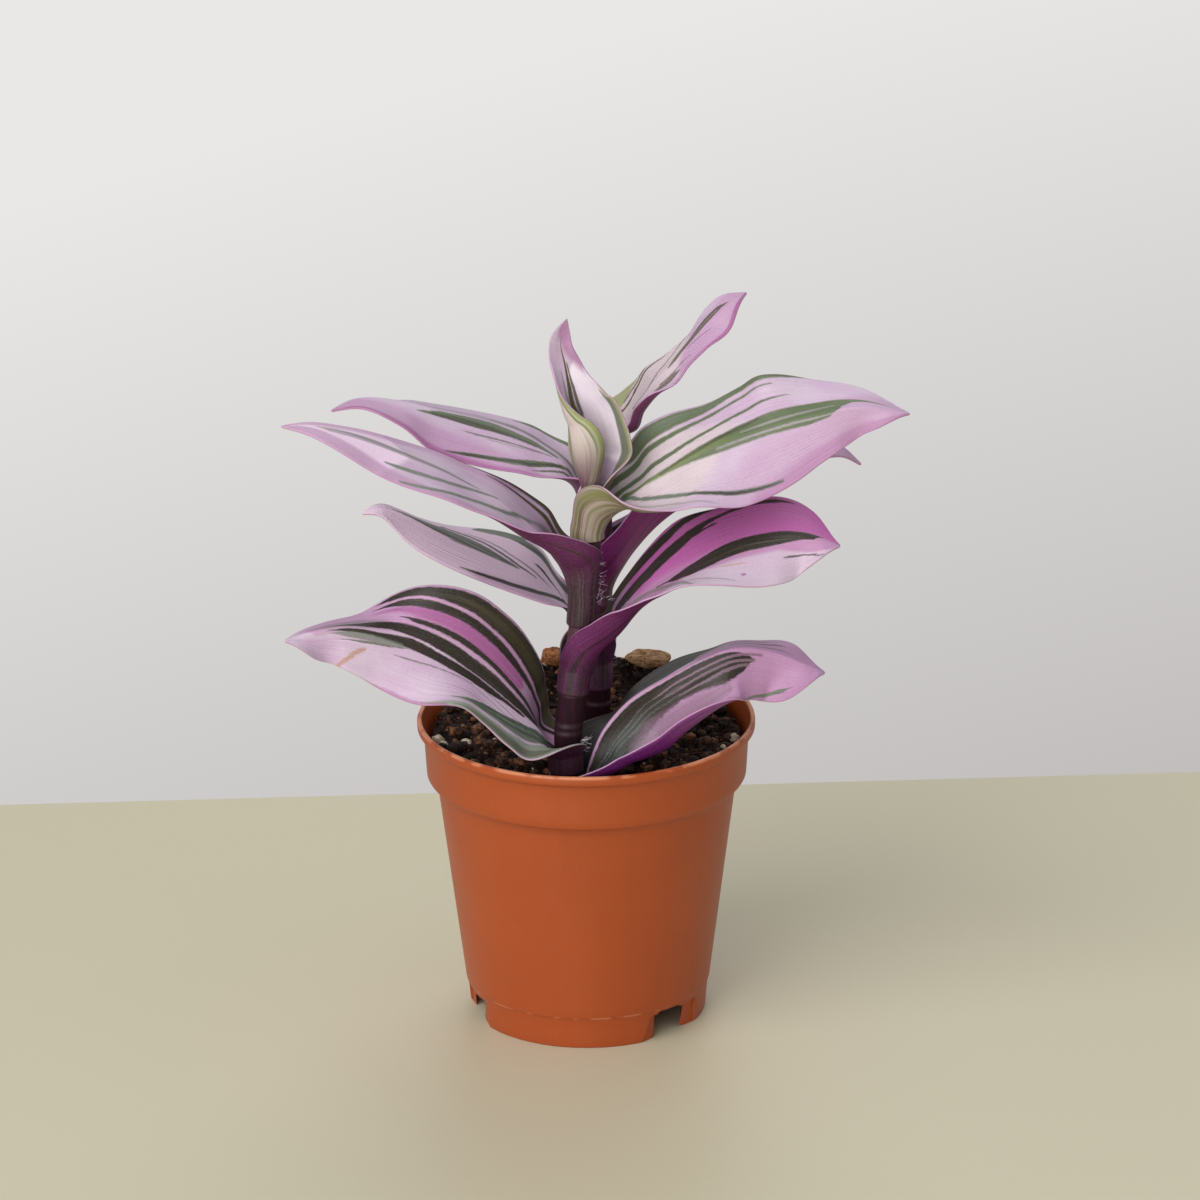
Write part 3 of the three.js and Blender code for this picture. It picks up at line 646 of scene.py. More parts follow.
def makeStem(name, path, material, sides=48, rows=90):
    bm = bmesh.new()
    places = extended([Vector(p[:3]) for p in path])
    radii = [path[0][3]] + [p[3] for p in path] + [path[-1][3]]

    def at(share):
        spot = share * (len(path) - 1)
        i = min(int(spot), len(path) - 2)
        w = spot - i
        before, low, high, after = radii[i:i + 4]
        radius = low + smooth(w) * (high - low) + (w ** 3 - 2 * w * w + w) * (high - before) / 2
        centre = bent(*places[i:i + 4], w, lambda gap: gap.length)
        return centre, radius + (w ** 3 - w * w) * (after - low) / 2

    centre, radius = at(0)
    bmesh.ops.create_circle(bm, cap_ends=True, segments=sides, radius=radius)
    bmesh.ops.translate(bm, verts=bm.verts, vec=centre)
    cap = bm.faces[:][0]
    for k in range(1, rows + 1):
        centre, radius = at(k / rows * stemSet["end"])
        cap = grown(bm, [cap], bmesh.types.BMFace)[0]
        middle = sum((v.co for v in cap.verts), Vector()) / sides
        for v in cap.verts:
            out = (v.co - middle).normalized()
            ripple = 1 + 0.02 * noise.noise(out * 2 + Vector((0, 0, centre.z * 0.05)))
            v.co = centre + out * radius * ripple
    bmesh.ops.recalc_face_normals(bm, faces=bm.faces)
    settle(bm)
    addPiece(name + "_skin", bm, [material], name)


stemSkin = makeStemMaterial()
for name in ("stem_front", "stem_back"):
    makeStem(name, stemSet[name], stemSkin)
print("stems made")

# A leaf is a sheath round the stem that opens into a blade. midrib: sheath foot, sheath mouth, then the
# blade to its tip, in millimetres. near and far: share of the blade, half-width, lift and bend in degrees.

leafShapes = {
    "leaf_front_1": {
        "bearing": 182, "sheathRadius": 3.8,
        "midrib": [[-8.3, -23, 66], [-8.3, -23, 69.5], [-9.5, -23, 74], [-13.5, -24, 79], [-19, -25, 84.5],
            [-25.5, -26, 90.5], [-31.5, -27, 95], [-38.5, -28, 98.5], [-46.5, -29, 101.5],
            [-53.5, -30, 102.5], [-60.5, -31, 101.5], [-66, -32, 100]],
        "near": [[0.04, 14, -16, 130], [0.1, 13.3, -38, 60], [0.18, 12.2, -41, 40], [0.28, 10.4, -36, 20],
            [0.38, 10.3, -34, 10], [0.5, 12.8, -55, 5], [0.65, 12.2, -73, 0], [0.8, 9.7, -74, 0],
            [0.9, 7.1, -80, 0]],
        "far": [[0.05, 11.7, -39, 110], [0.1, 12.8, -13, 70], [0.2, 13.9, 26, 30], [0.3, 14.8, 48, 10],
            [0.4, 15.2, 64, 0], [0.5, 15.3, 69, 0], [0.62, 12.5, 55, 0], [0.75, 7.6, -1, 0],
            [0.88, 5.3, -13, 0]],
    },
    "leaf_front_2": {
        "bearing": 0, "sheathRadius": 3.4,
        "midrib": [[-1.1, -23, 54], [-1.1, -23, 58], [0, -23, 64], [2, -23, 71], [4, -23, 75.5],
            [9.5, -23, 82], [18, -23, 87.5], [26, -23, 92], [33, -23, 94.5], [41.5, -22, 93],
            [47.5, -22, 90.5], [53, -22, 88]],
        "near": [[0.05, 11.5, -15, 155], [0.1, 12.5, -45, 150, 0.5], [0.2, 13.4, -98, 155, 2.2],
            [0.35, 14.5, -116, 140, 4.3], [0.5, 14.1, -88, 110, 3.4], [0.65, 12.6, -61, 45, 2.6],
            [0.8, 11.4, -83, 10], [0.9, 10.4, -84, 0]],
        "far": [[0.05, 11, 0, 130], [0.1, 11.5, 0, 90], [0.16, 12, 0, 55], [0.25, 12, -19, 20],
            [0.35, 12.1, -13, 10], [0.5, 12, -5, 0], [0.65, 11, -13, 0], [0.8, 8.5, -6, 0],
            [0.9, 6, 15, 0]],
    },
    "leaf_front_3": {
        "bearing": 0, "sheathRadius": 3.5,
        "midrib": [[0.5, -21.7, 83.5], [1.2, -21.4, 88.5], [3, -21, 93.5], [6.5, -21, 98],
            [10.5, -21, 103.5], [15.5, -22, 109], [23, -23, 114], [32, -24, 119], [40.5, -25, 121],
            [48, -26, 121.5], [56, -27, 119.5]],
        "near": [[0.05, 11.6, -10, 155], [0.12, 12.3, -19, 135], [0.2, 13.3, -26, 120],
            [0.3, 12.5, -19, 75], [0.4, 12.7, -15, 45], [0.5, 12.7, -8, 20], [0.65, 12.2, -33, 10],
            [0.78, 11, -50, 0], [0.9, 7.6, -68, 0]],
        "far": [[0.05, 11.5, 0, 150], [0.12, 11.6, -32, 100], [0.2, 12.2, -1, 30], [0.35, 12.7, 19, 0],
            [0.5, 13.5, 29, 0], [0.65, 13.2, 18, 0], [0.8, 11.5, 26, 0], [0.9, 7.9, 17, 0]],
    },
    "leaf_front_4": {
        "bearing": 180, "sheathRadius": 3.4,
        "midrib": [[-4, -20.3, 99.5], [-3.7, -20, 107.5], [-5.5, -20, 113], [-8.5, -20, 118.5],
            [-13, -20, 123], [-18.5, -21, 128], [-25, -22, 132], [-31.5, -23, 136], [-42, -24, 141],
            [-51, -25, 145], [-59, -26, 147.5], [-66, -27, 148]],
        "near": [[0.05, 12.5, 13, 150], [0.1, 13.5, -4, 135], [0.2, 12.1, -36, 115], [0.3, 12, -35, 80],
            [0.4, 11.8, -23, 45], [0.5, 12.2, -14, 20], [0.7, 9.4, -18, 0], [0.85, 7.4, -7, 0]],
        "far": [[0.05, 11.5, 0, 140], [0.1, 11.5, -31, 100], [0.2, 11.9, -5, 40], [0.35, 11.6, 0, 10],
            [0.5, 10.9, 1, 0], [0.7, 8.8, -3, 0], [0.85, 4.3, -4, 0]],
    },
    "leaf_front_5": {
        "bearing": 0, "sheathRadius": 3.6,
        "midrib": [[4.1, -20, 119.5], [4.2, -20, 121.5], [6.2, -20, 124.8], [10.5, -20, 129],
            [16, -21, 134], [27, -22, 140.5], [38.5, -23, 145], [49, -24, 148.5], [60, -25, 151],
            [71, -26, 149.6]],
        "near": [[0.04, 13.7, 1, 165], [0.1, 14.4, -21, 148], [0.16, 15.2, -52, 130],
            [0.24, 14.2, -68, 95], [0.32, 14.3, -55, 50], [0.45, 15.3, -61, 15], [0.6, 13.4, -66, 0],
            [0.75, 9.3, -75, 0], [0.88, 5.8, -83, 0]],
        "far": [[0.04, 12.5, 0, 155], [0.1, 13.2, -5, 125], [0.16, 12.9, -8, 90], [0.24, 13.6, 20, 35],
            [0.32, 13.6, 31, 5], [0.42, 13.1, 26, 0], [0.52, 13, 29, 10], [0.6, 12.7, 46, 0],
            [0.72, 10.8, 26, 0], [0.86, 7.5, 9, 0]],
    },
    "leaf_front_6": {
        "bearing": 98, "sheathRadius": 2.8,
        "midrib": [[1.9, -16.7, 126], [1.9, -16.7, 130], [1.1, -15.8, 137.5], [0, -15, 146],
            [-1.5, -15, 149], [-3, -15, 153.5], [-4, -15, 158], [-5, -16, 163.5], [-3.5, -17, 169]],
        "near": [[0.04, 9.2, 3, 176], [0.1, 12, -5, 216], [0.25, 17.3, -6, 236], [0.4, 14.2, 4, 184],
            [0.53, 9.7, 9, 133], [0.65, 5.2, 7, 80], [0.8, 3.1, 4, 20], [0.9, 2, 4, 0]],
        "far": [[0.08, 10.5, -11, 150], [0.16, 12.5, -14, 115], [0.25, 12.8, 4, 80], [0.4, 11.2, 15, 60],
            [0.53, 8.2, 14, 50], [0.65, 5, 14, 40], [0.8, 2.9, 18, 20], [0.9, 2, 11, 0]],
    },
    "leaf_back_1": {
        "bearing": 180, "sheathRadius": 3.4,
        "midrib": [[-0.9, 0, 77], [-0.9, 0, 83], [-2, 0, 90.5], [-4.5, -1, 97], [-8, -2, 101],
            [-12.5, -3, 105], [-20.5, -4, 109.5], [-32, -5, 115.5], [-41, -6, 120.5], [-45.5, -7, 122],
            [-49.5, -8, 121]],
        "near": [[0.05, 11.3, 0, 150], [0.1, 11.8, -8, 125], [0.2, 8.7, -9, 80], [0.35, 10.3, -9, 20],
            [0.5, 10.8, -7, 0], [0.7, 9.6, -14, 0], [0.85, 6.1, -21, 0]],
        "far": [[0.05, 11.3, 0, 145], [0.1, 11.8, -5, 110], [0.2, 11.4, -18, 40], [0.35, 12, 7, 0],
            [0.5, 12, 2, 0], [0.7, 9.4, -16, 0], [0.85, 5.1, -20, 0]],
    },
    "leaf_back_2": {
        "bearing": 0, "sheathRadius": 3.4,
        "midrib": [[5.9, 0, 97], [5.9, 0, 100], [7.5, 0, 104], [11.5, 0, 110], [17, 0, 116],
            [25.5, 0, 122], [36.5, 0, 128], [48, 0, 132], [56.5, 0, 132.5], [61.5, 0, 129]],
        "near": [[0.05, 11.3, 0, 150], [0.1, 11.3, 2, 115], [0.2, 9.6, 32, 40], [0.35, 9.6, 58, 10],
            [0.5, 10.5, 35, 0], [0.7, 9.8, 5, 0], [0.85, 6.5, 0, 0]],
        "far": [[0.05, 11.3, 0, 150], [0.1, 11.8, -5, 115], [0.2, 11.5, 0, 40], [0.35, 12, 20, 0],
            [0.5, 12, 10, 0], [0.7, 10.5, 5, 0], [0.85, 6, 0, 0]],
    },
    "leaf_back_3": {
        "bearing": 180, "sheathRadius": 3.4,
        "midrib": [[-0.9, 0, 112.5], [-0.9, 0, 117], [-1.8, 0, 123.5], [-4.5, 0.5, 129.5], [-10, 1, 133],
            [-20.5, 1.5, 137.5], [-31.5, 1, 141.5], [-40.5, 0, 144.5], [-49.5, -1, 145.5], [-56, -2, 143]],
        "near": [[0.05, 11.3, 0, 150], [0.1, 11.8, -8, 120], [0.2, 11.2, -41, 70], [0.35, 12, -34, 20],
            [0.5, 12.4, -33, 0], [0.65, 12.1, -31, 0], [0.76, 10.2, -18, 0], [0.87, 7.8, -10, 10]],
        "far": [[0.05, 11.3, 0, 145], [0.1, 11.8, -5, 110], [0.2, 11.4, -9, 40], [0.35, 11.8, 6, 0],
            [0.5, 11.5, -1, 0], [0.7, 9.3, -10, 0], [0.85, 4.4, -20, 0]],
    },
    "leaf_back_4": {
        "bearing": 10, "sheathRadius": 3.2,
        "midrib": [[5.9, 0.6, 127.5], [5.9, 0.6, 131], [7.5, 1, 135.5], [10.5, 1, 141.5], [14, 1, 146],
            [19.5, 1, 153], [23.5, 1, 157.5], [27, 1, 161.5], [32, 1, 166], [36, 1, 169]],
        "near": [[0.1, 10.5, 0, 155], [0.2, 10.5, -49, 130], [0.3, 9.6, -30, 100], [0.4, 9.4, -25, 80],
            [0.5, 7.4, -40, 60], [0.6, 5.9, -28, 30], [0.7, 5.7, -23, 10], [0.85, 4.8, -37, 0]],
        "far": [[0.1, 10.5, 10, 130], [0.2, 9.2, -18, 80], [0.3, 8.4, -17, 50], [0.4, 7.5, -5, 30],
            [0.5, 6.3, -9, 20], [0.65, 5.6, -7, 0], [0.8, 5.4, 8, 0], [0.9, 4.6, 10, 0]],
    },
}

leafSet = {"columns": 44, "sheathRows": 16, "bladeRows": 92, "thickness": 0.5, "sheathShare": 0.1,
           "tip": 0.998, "sheathBend": 170, "edgeJitter": 0.022, "endJitter": 0.022, "cellJitter": 0.045,
           "sagFrom": 0.4}

# Some tones are painted light or shade: two near-white washes and brighter copies of the magenta and sage
# tones stand in for light; two dark tones are painted shade.
upperTones = {
    "lilac": rgb(202, 172, 200), "pale": rgb(212, 192, 210), "pink": rgb(192, 142, 182),
    "magenta": rgb(164, 82, 146), "fuchsia": rgb(190, 96, 168), "plum": rgb(112, 56, 98),
    "bloom": rgb(246, 218, 240), "frost": rgb(250, 240, 248), "mauve": rgb(142, 108, 130),
    "night": rgb(34, 36, 32), "dark": rgb(44, 40, 31), "shade": rgb(52, 42, 42), "blue": rgb(46, 58, 54),
    "olive": rgb(82, 78, 50), "sage": rgb(110, 122, 106), "mint": rgb(150, 162, 146),
    "green": rgb(98, 112, 80), "lime": rgb(148, 160, 90), "cream": rgb(218, 208, 198),
    "grey": rgb(118, 116, 110), "rim": rgb(192, 142, 180), "scar": rgb(184, 136, 100),
}
# dark purple painted as shade at each sheath's foot
paintedFootShade = rgb(80, 26, 62)
# sheath skin of each leaf: ground, stripes, thin streaks; then its underside: ground, stripes, and a
# band along the margins where it has one
underSkins = {
    "leaf_front_1": [(39, 15, 27), (59, 22, 44), (52, 35, 34), (92, 29, 81), (59, 22, 42)],
    "leaf_front_2": [(45, 17, 35), (81, 29, 74), (50, 29, 34), (102, 29, 102), (138, 69, 134)],
    "leaf_front_3": [(66, 20, 52), (40, 22, 26), (88, 40, 76), (98, 26, 84), (60, 22, 50)],
    "leaf_front_4": [(52, 22, 36), (44, 32, 22), (92, 58, 76), (96, 36, 80), (66, 46, 40)],
    "leaf_front_5": [(112, 118, 62), (162, 146, 134), (104, 56, 78), (124, 124, 78), (172, 156, 146)],
    "leaf_front_6": [(92, 44, 70), (116, 108, 78), (86, 38, 66), (206, 192, 184), (128, 138, 92),
                     (146, 160, 92)],
    "leaf_back_1": [(74, 27, 64), (45, 20, 34), (71, 50, 44), (86, 27, 76), (59, 27, 45)],
    "leaf_back_2": [(88, 26, 66), (52, 20, 38), (104, 40, 84), (128, 32, 108), (84, 24, 66)],
    "leaf_back_3": [(101, 47, 87), (71, 50, 50), (76, 42, 50), (119, 52, 108), (81, 47, 59)],
    "leaf_back_4": [(114, 50, 94), (77, 37, 50), (101, 71, 76), (138, 71, 114), (87, 45, 60)],
}
leafBands = {
    "leaf_front_1": [
        ["pink", 0.25, [[0, 0.1, 1], [0.3, 0.2, 1], [0.6, 0.2, 1], [0.9, -0.1, 1]], 0.8],
        ["magenta", 0.12, [[0.22, 0.3, 0.52], [0.4, 0.3, 0.55], [0.6, 0.42, 0.62], [0.72, 0.6, 0.62]], 0.8],
        ["dark", 0.03, [[0, 0.75, 0.985], [0.1, 0.73, 0.985], [0.15, 0.67, 0.98], [0.2, 0.66, 0.975],
            [0.3, 0.685, 0.97], [0.4, 0.705, 0.965], [0.5, 0.727, 0.965], [0.6, 0.8, 0.965],
            [0.68, 0.82, 0.95], [0.715, 0.9, 0.9]]],
        ["olive", 0.12, [[0.02, 0.74, 0.98], [0.2, 0.72, 0.9], [0.4, 0.76, 0.9], [0.55, 0.84, 0.84]], 0.55],
        ["dark", 0.03, [[0, 0.6, 0.7], [0.1, 0.58, 0.68], [0.15, 0.54, 0.61], [0.2, 0.5, 0.6],
            [0.3, 0.51, 0.62], [0.4, 0.53, 0.655], [0.5, 0.55, 0.675], [0.6, 0.6, 0.745],
            [0.65, 0.62, 0.76], [0.725, 0.75, 0.75]]],
        ["dark", 0.025, [[0, 0.22, 0.34], [0.2, 0.235, 0.31], [0.3, 0.25, 0.32], [0.4, 0.26, 0.34],
            [0.5, 0.27, 0.36], [0.6, 0.32, 0.4], [0.655, 0.41, 0.41]]],
        ["grey", 0.14, [[0.68, 0.1, 0.3], [0.76, 0, 0.5], [0.86, 0, 0.45], [0.92, 0.2, 0.3]], 0.55],
        ["dark", 0.03, [[0, 0.01, 0.2], [0.2, 0.005, 0.17], [0.3, 0.005, 0.2], [0.4, 0.0, 0.19],
            [0.5, 0.03, 0.21], [0.6, 0.08, 0.26], [0.67, 0.1, 0.28], [0.74, 0.06, 0.3], [0.8, 0.05, 0.2],
            [0.86, 0.1, 0.12]]],
        ["dark", 0.03, [[0.16, -0.05, -0.01], [0.25, -0.1, -0.012], [0.3, -0.18, -0.012],
            [0.35, -0.22, -0.012], [0.4, -0.215, -0.015], [0.45, -0.19, -0.015], [0.5, -0.165, -0.01],
            [0.55, -0.145, 0.02], [0.6, -0.13, 0.05], [0.7, -0.12, -0.02], [0.8, -0.09, -0.02],
            [0.87, -0.04, -0.04]]],
        ["sage", 0.05, [[0.62, -0.16, -0.1], [0.7, -0.25, -0.1], [0.8, -0.22, -0.08],
            [0.86, -0.1, -0.1]], 0.8],
        ["grey", 0.02, [[0.36, -0.27, -0.25], [0.5, -0.28, -0.25], [0.6, -0.33, -0.3],
            [0.65, -0.33, -0.33]], 0.8],
        ["grey", 0.02, [[0.6, -0.15, -0.13], [0.68, -0.25, -0.21], [0.75, -0.3, -0.25],
            [0.84, -0.27, -0.27]]],
        ["sage", 0.04, [[0, -0.24, 0.0], [0.05, -0.24, -0.02], [0.1, -0.38, -0.06], [0.2, -0.54, -0.27],
            [0.3, -0.7, -0.5], [0.37, -0.76, -0.68], [0.42, -0.77, -0.77]]],
        ["blue", 0.03, [[0, -0.1, -0.02], [0.1, -0.15, -0.07], [0.2, -0.34, -0.27], [0.3, -0.58, -0.5],
            [0.38, -0.72, -0.72]], 0.6],
        ["blue", 0.03, [[0, -0.2, -0.12], [0.1, -0.26, -0.18], [0.2, -0.46, -0.4], [0.3, -0.65, -0.6],
            [0.37, -0.73, -0.73]], 0.6],
        # sage brightened as painted light over the flap, which lies in shade
        ["mint", 0.04, [[0, -1.1, -0.3], [0.07, -1.1, -0.36], [0.12, -1.1, -0.48], [0.2, -1.1, -0.63],
            [0.3, -1.1, -0.78], [0.4, -1.02, -0.87], [0.5, -0.96, -0.94]], 0.95],
        ["olive", 0.1, [[0.08, -0.9, -0.6], [0.2, -0.95, -0.7], [0.3, -1, -0.85],
            [0.4, -0.95, -0.95]], 0.6],
        ["magenta", 0.05, [[0.42, -1.1, -0.95], [0.6, -1.1, -0.93], [0.75, -1.1, -1]], 0.6],
        ["scar", 0.05, [[0.735, -0.44, -0.38], [0.75, -0.52, -0.4], [0.77, -0.62, -0.48],
            [0.8, -0.8, -0.66], [0.825, -0.92, -0.8], [0.845, -1.05, -0.94]], 0.7],
    ],
    "leaf_front_2": [
        ["pink", 0.3, [[0.35, -1.2, -0.5], [0.5, -1.2, -0.3], [0.7, -1.2, 0.1], [1, -1.2, 1.2]], 0.9],
        ["blue", 0.03, [[0, 0.03, 1.1], [0.3, 0.03, 1.1], [0.5, 0.06, 1.1], [0.6, 0.2, 1.1],
            [0.68, 0.7, 1.1], [0.72, 1, 1]]],
        # painted shadow: near-black over the far half's base, where the leaf lies in deep shade by the soil
        ["night", 0.15, [[0, 0.0, 1.2], [0.24, 0.03, 1.2], [0.34, 0.3, 1.1], [0.42, 0.8, 1.1]], 0.95],
        ["dark", 0.1, [[0.2, 0.2, 1.0], [0.6, 0.3, 1.0], [0.68, 0.7, 1]], 0.8],
        ["olive", 0.06, [[0.4, 0.62, 0.7], [0.55, 0.7, 0.8], [0.7, 0.8, 0.86]], 0.8],
        ["pink", 0.04, [[0.6, 0.02, 0.5], [0.72, 0.0, 1.1], [1, 0, 1.1]], 0.8],
        ["dark", 0.02, [[0.7, 0.42, 0.46], [0.84, 0.5, 0.6], [0.88, 0.55, 0.55]], 0.8],
        ["dark", 0.02, [[0.74, 0.14, 0.17], [0.85, 0.2, 0.26], [0.9, 0.23, 0.23]], 0.8],
        ["dark", 0.02, [[0.72, 0.7, 0.73], [0.8, 0.74, 0.8], [0.84, 0.77, 0.77]], 0.8],
        ["dark", 0.03, [[0, -0.52, -0.02], [0.18, -0.56, -0.03], [0.25, -0.51, -0.04], [0.3, -0.5, -0.05],
            [0.4, -0.45, -0.04], [0.5, -0.41, -0.03], [0.57, -0.44, -0.03], [0.65, -0.5, -0.04],
            [0.7, -0.48, -0.06], [0.74, -0.43, -0.1], [0.78, -0.2, -0.2]]],
        ["blue", 0.14, [[0, -0.6, -0.1], [0.2, -0.6, -0.2], [0.32, -0.5, -0.3], [0.4, -0.4, -0.4]], 0.75],
        ["grey", 0.012, [[0.12, -0.2, -0.18], [0.2, -0.27, -0.255], [0.3, -0.285, -0.265],
            [0.4, -0.21, -0.19], [0.5, -0.15, -0.13], [0.6, -0.17, -0.14], [0.7, -0.165, -0.13],
            [0.8, -0.12, -0.08]], 0.45],
        ["mauve", 0.02, [[0.42, -0.2, -0.185], [0.5, -0.15, -0.12], [0.6, -0.17, -0.13],
            [0.7, -0.17, -0.12], [0.8, -0.13, -0.07]], 0.85],
        ["mauve", 0.02, [[0.45, -0.26, -0.25], [0.55, -0.27, -0.23], [0.65, -0.28, -0.235],
            [0.78, -0.25, -0.19]], 0.85],
        ["mauve", 0.02, [[0.5, -0.345, -0.33], [0.6, -0.4, -0.36], [0.68, -0.39, -0.33],
            [0.76, -0.34, -0.28]], 0.85],
        ["grey", 0.012, [[0.15, -0.3, -0.28], [0.3, -0.36, -0.34], [0.4, -0.3, -0.28], [0.5, -0.225, -0.2],
            [0.6, -0.29, -0.265], [0.7, -0.26, -0.235], [0.78, -0.24, -0.2]], 0.45],
        ["grey", 0.012, [[0.2, -0.385, -0.37], [0.3, -0.42, -0.4], [0.4, -0.37, -0.355],
            [0.5, -0.34, -0.32], [0.6, -0.4, -0.375], [0.76, -0.34, -0.3]], 0.45],
        ["pale", 0.1, [[0.1, -0.8, -0.55], [0.25, -0.85, -0.52], [0.4, -0.7, -0.5],
            [0.5, -0.5, -0.5]], 0.35],
        ["mauve", 0.12, [[0.22, -0.8, -0.5], [0.35, -0.7, -0.42], [0.45, -0.66, -0.42],
            [0.55, -0.66, -0.44], [0.66, -0.62, -0.5]], 0.75],
        ["dark", 0.03, [[0.24, -0.72, -0.66], [0.3, -0.7, -0.62], [0.37, -0.64, -0.55],
            [0.42, -0.58, -0.57]], 0.8],
        ["blue", 0.03, [[0.26, -0.86, -0.82], [0.3, -0.86, -0.73], [0.38, -0.8, -0.69],
            [0.43, -0.72, -0.7]]],
        ["dark", 0.02, [[0.65, -0.92, -0.9], [0.663, -0.95, -0.88], [0.68, -0.88, -0.88]]],
        ["sage", 0.03, [[0.72, -1, -0.97], [0.8, -0.95, -0.9], [0.86, -0.9, -0.82], [0.9, -0.8, -0.68],
            [0.925, -0.66, -0.66]]],
        ["pink", 0.015, [[0, -0.02, 0.03], [0.5, -0.025, 0.03], [0.8, -0.02, 0.03], [1, 0, 0]]],
    ],
    "leaf_front_3": [
        ["pink", 0.3, [[0, -1.2, 1.2], [0.3, -0.6, 1.2], [0.6, -0.5, 1.2], [1, -0.9, 1.2]]],
        # magenta brightened as painted light, where the leaf above shades this one
        ["fuchsia", 0.3, [[0.3, 0.1, 0.9], [0.55, 0.0, 1.1], [0.8, 0.0, 1.1], [1, 0.2, 1.1]], 0.95],
        ["dark", 0.03, [[0, 0.82, 1.1], [0.17, 0.84, 1.1], [0.25, 0.77, 0.99], [0.32, 0.71, 0.96],
            [0.38, 0.69, 0.93], [0.45, 0.73, 0.92], [0.5, 0.81, 0.95], [0.56, 0.89, 0.99],
            [0.61, 0.97, 0.97]]],
        ["olive", 0.1, [[0.05, 0.85, 1], [0.25, 0.8, 0.98], [0.35, 0.85, 0.85]], 0.5],
        ["dark", 0.03, [[0.02, 0.6, 0.76], [0.17, 0.6, 0.73], [0.22, 0.42, 0.67], [0.25, 0.33, 0.63],
            [0.3, 0.28, 0.57], [0.35, 0.25, 0.54], [0.4, 0.3, 0.56], [0.45, 0.36, 0.6], [0.5, 0.43, 0.64],
            [0.54, 0.52, 0.7], [0.6, 0.7, 0.79], [0.65, 0.8, 0.87], [0.7, 0.84, 0.9], [0.78, 0.82, 0.92],
            [0.84, 0.88, 0.9]]],
        ["dark", 0.025, [[0.48, 0.43, 0.5], [0.55, 0.52, 0.57], [0.6, 0.6, 0.64], [0.62, 0.63, 0.63]]],
        ["pale", 0.1, [[0.38, -1.2, -0.6], [0.5, -1.2, -0.46], [0.6, -1.2, -0.4], [0.7, -1.2, -0.34],
            [0.8, -1.2, -0.28], [0.95, -1.2, -0.5]], 0.85],
        ["dark", 0.035, [[0.37, -0.14, -0.1], [0.41, -0.2, -0.16], [0.45, -0.36, -0.12],
            [0.5, -0.46, -0.04], [0.55, -0.38, 0], [0.6, -0.3, 0.03], [0.7, -0.22, 0.08],
            [0.8, -0.17, 0.12], [0.86, -0.1, 0.12], [0.91, -0.04, 0.14], [0.94, 0.15, 0.17]]],
        ["olive", 0.02, [[0.55, -0.22, -0.2], [0.7, -0.12, -0.1], [0.84, -0.05, -0.04]], 0.6],
        ["sage", 0.06, [[0.2, 0.12, 0.3], [0.28, -0.02, 0.1], [0.35, -0.2, -0.08], [0.42, -0.46, -0.3],
            [0.48, -0.8, -0.6], [0.51, -1, -0.9]], 0.65],
        ["grey", 0.04, [[0.5, -0.72, -0.68], [0.56, -0.8, -0.74], [0.64, -0.87, -0.85]], 0.5],
        ["scar", 0.02, [[0.56, -0.46, -0.45], [0.63, -0.49, -0.44], [0.69, -0.48, -0.46]], 0.5],
        ["magenta", 0.02, [[0.66, -0.72, -0.71], [0.672, -0.76, -0.68], [0.685, -0.72, -0.72]], 0.7],
        ["dark", 0.02, [[0.805, -0.46, -0.45], [0.83, -0.48, -0.43], [0.89, -0.5, -0.46],
            [0.93, -0.62, -0.55], [0.96, -0.95, -0.9]], 0.8],
    ],
    "leaf_front_4": [
        # painted light: a near-white wash over the tip, which the lamps leave too dark
        ["bloom", 0.3, [[0.72, -1.2, 1.2], [0.85, -1.2, 1.2], [1, -1.2, 1.2]], 0.95],
        ["pink", 0.2, [[0, -1.2, -0.3], [0.3, -1.2, -0.55], [0.5, -1.2, -0.75], [0.7, -1.2, -0.6],
            [1, -1.2, 0]], 0.7],
        ["pink", 0.2, [[0.3, 0.7, 1.2], [0.6, 0.75, 1.2], [0.8, 0.6, 1.2], [1, 0, 1.2]], 0.6],
        ["dark", 0.04, [[0, 0.86, 1.2], [0.14, 0.88, 1.1], [0.22, 0.9, 1.1], [0.35, 0.93, 1.1],
            [0.55, 0.97, 1.0]], 0.9],
        ["olive", 0.04, [[0, 0.66, 0.84], [0.13, 0.74, 0.86], [0.2, 0.695, 0.8], [0.25, 0.727, 0.8],
            [0.3, 0.77, 0.83], [0.37, 0.84, 0.87]]],
        ["olive", 0.06, [[0, 0.86, 1.1], [0.2, 0.9, 1.1], [0.36, 0.95, 1.1]], 0.6],
        ["sage", 0.1, [[0.02, 0.8, 1.1], [0.1, 0.66, 0.92], [0.16, 0.44, 0.62], [0.2, 0.26, 0.42],
            [0.25, -0.02, 0.14], [0.28, -0.1, 0.02]], 0.6],
        ["sage", 0.06, [[0.22, 0.1, 0.22], [0.25, 0.02, 0.1], [0.3, -0.16, -0.07], [0.35, -0.29, -0.19],
            [0.4, -0.4, -0.29], [0.45, -0.54, -0.42], [0.5, -0.69, -0.56], [0.55, -0.84, -0.72],
            [0.6, -0.93, -0.81], [0.64, -0.95, -0.88]], 0.95],
        ["sage", 0.06, [[0.34, 0.06, 0.12], [0.38, -0.03, 0.03], [0.42, -0.09, -0.02], [0.46, -0.19, -0.1],
            [0.5, -0.3, -0.19], [0.55, -0.4, -0.28], [0.6, -0.46, -0.33], [0.65, -0.5, -0.38],
            [0.69, -0.5, -0.44]], 0.95],
        ["grey", 0.07, [[0.4, 0.06, 0.12], [0.5, 0.03, 0.16], [0.6, 0.0, 0.2], [0.7, 0.0, 0.34],
            [0.8, -0.06, 0.36], [0.86, -0.12, 0.28], [0.9, 0.0, 0.1]], 0.6],
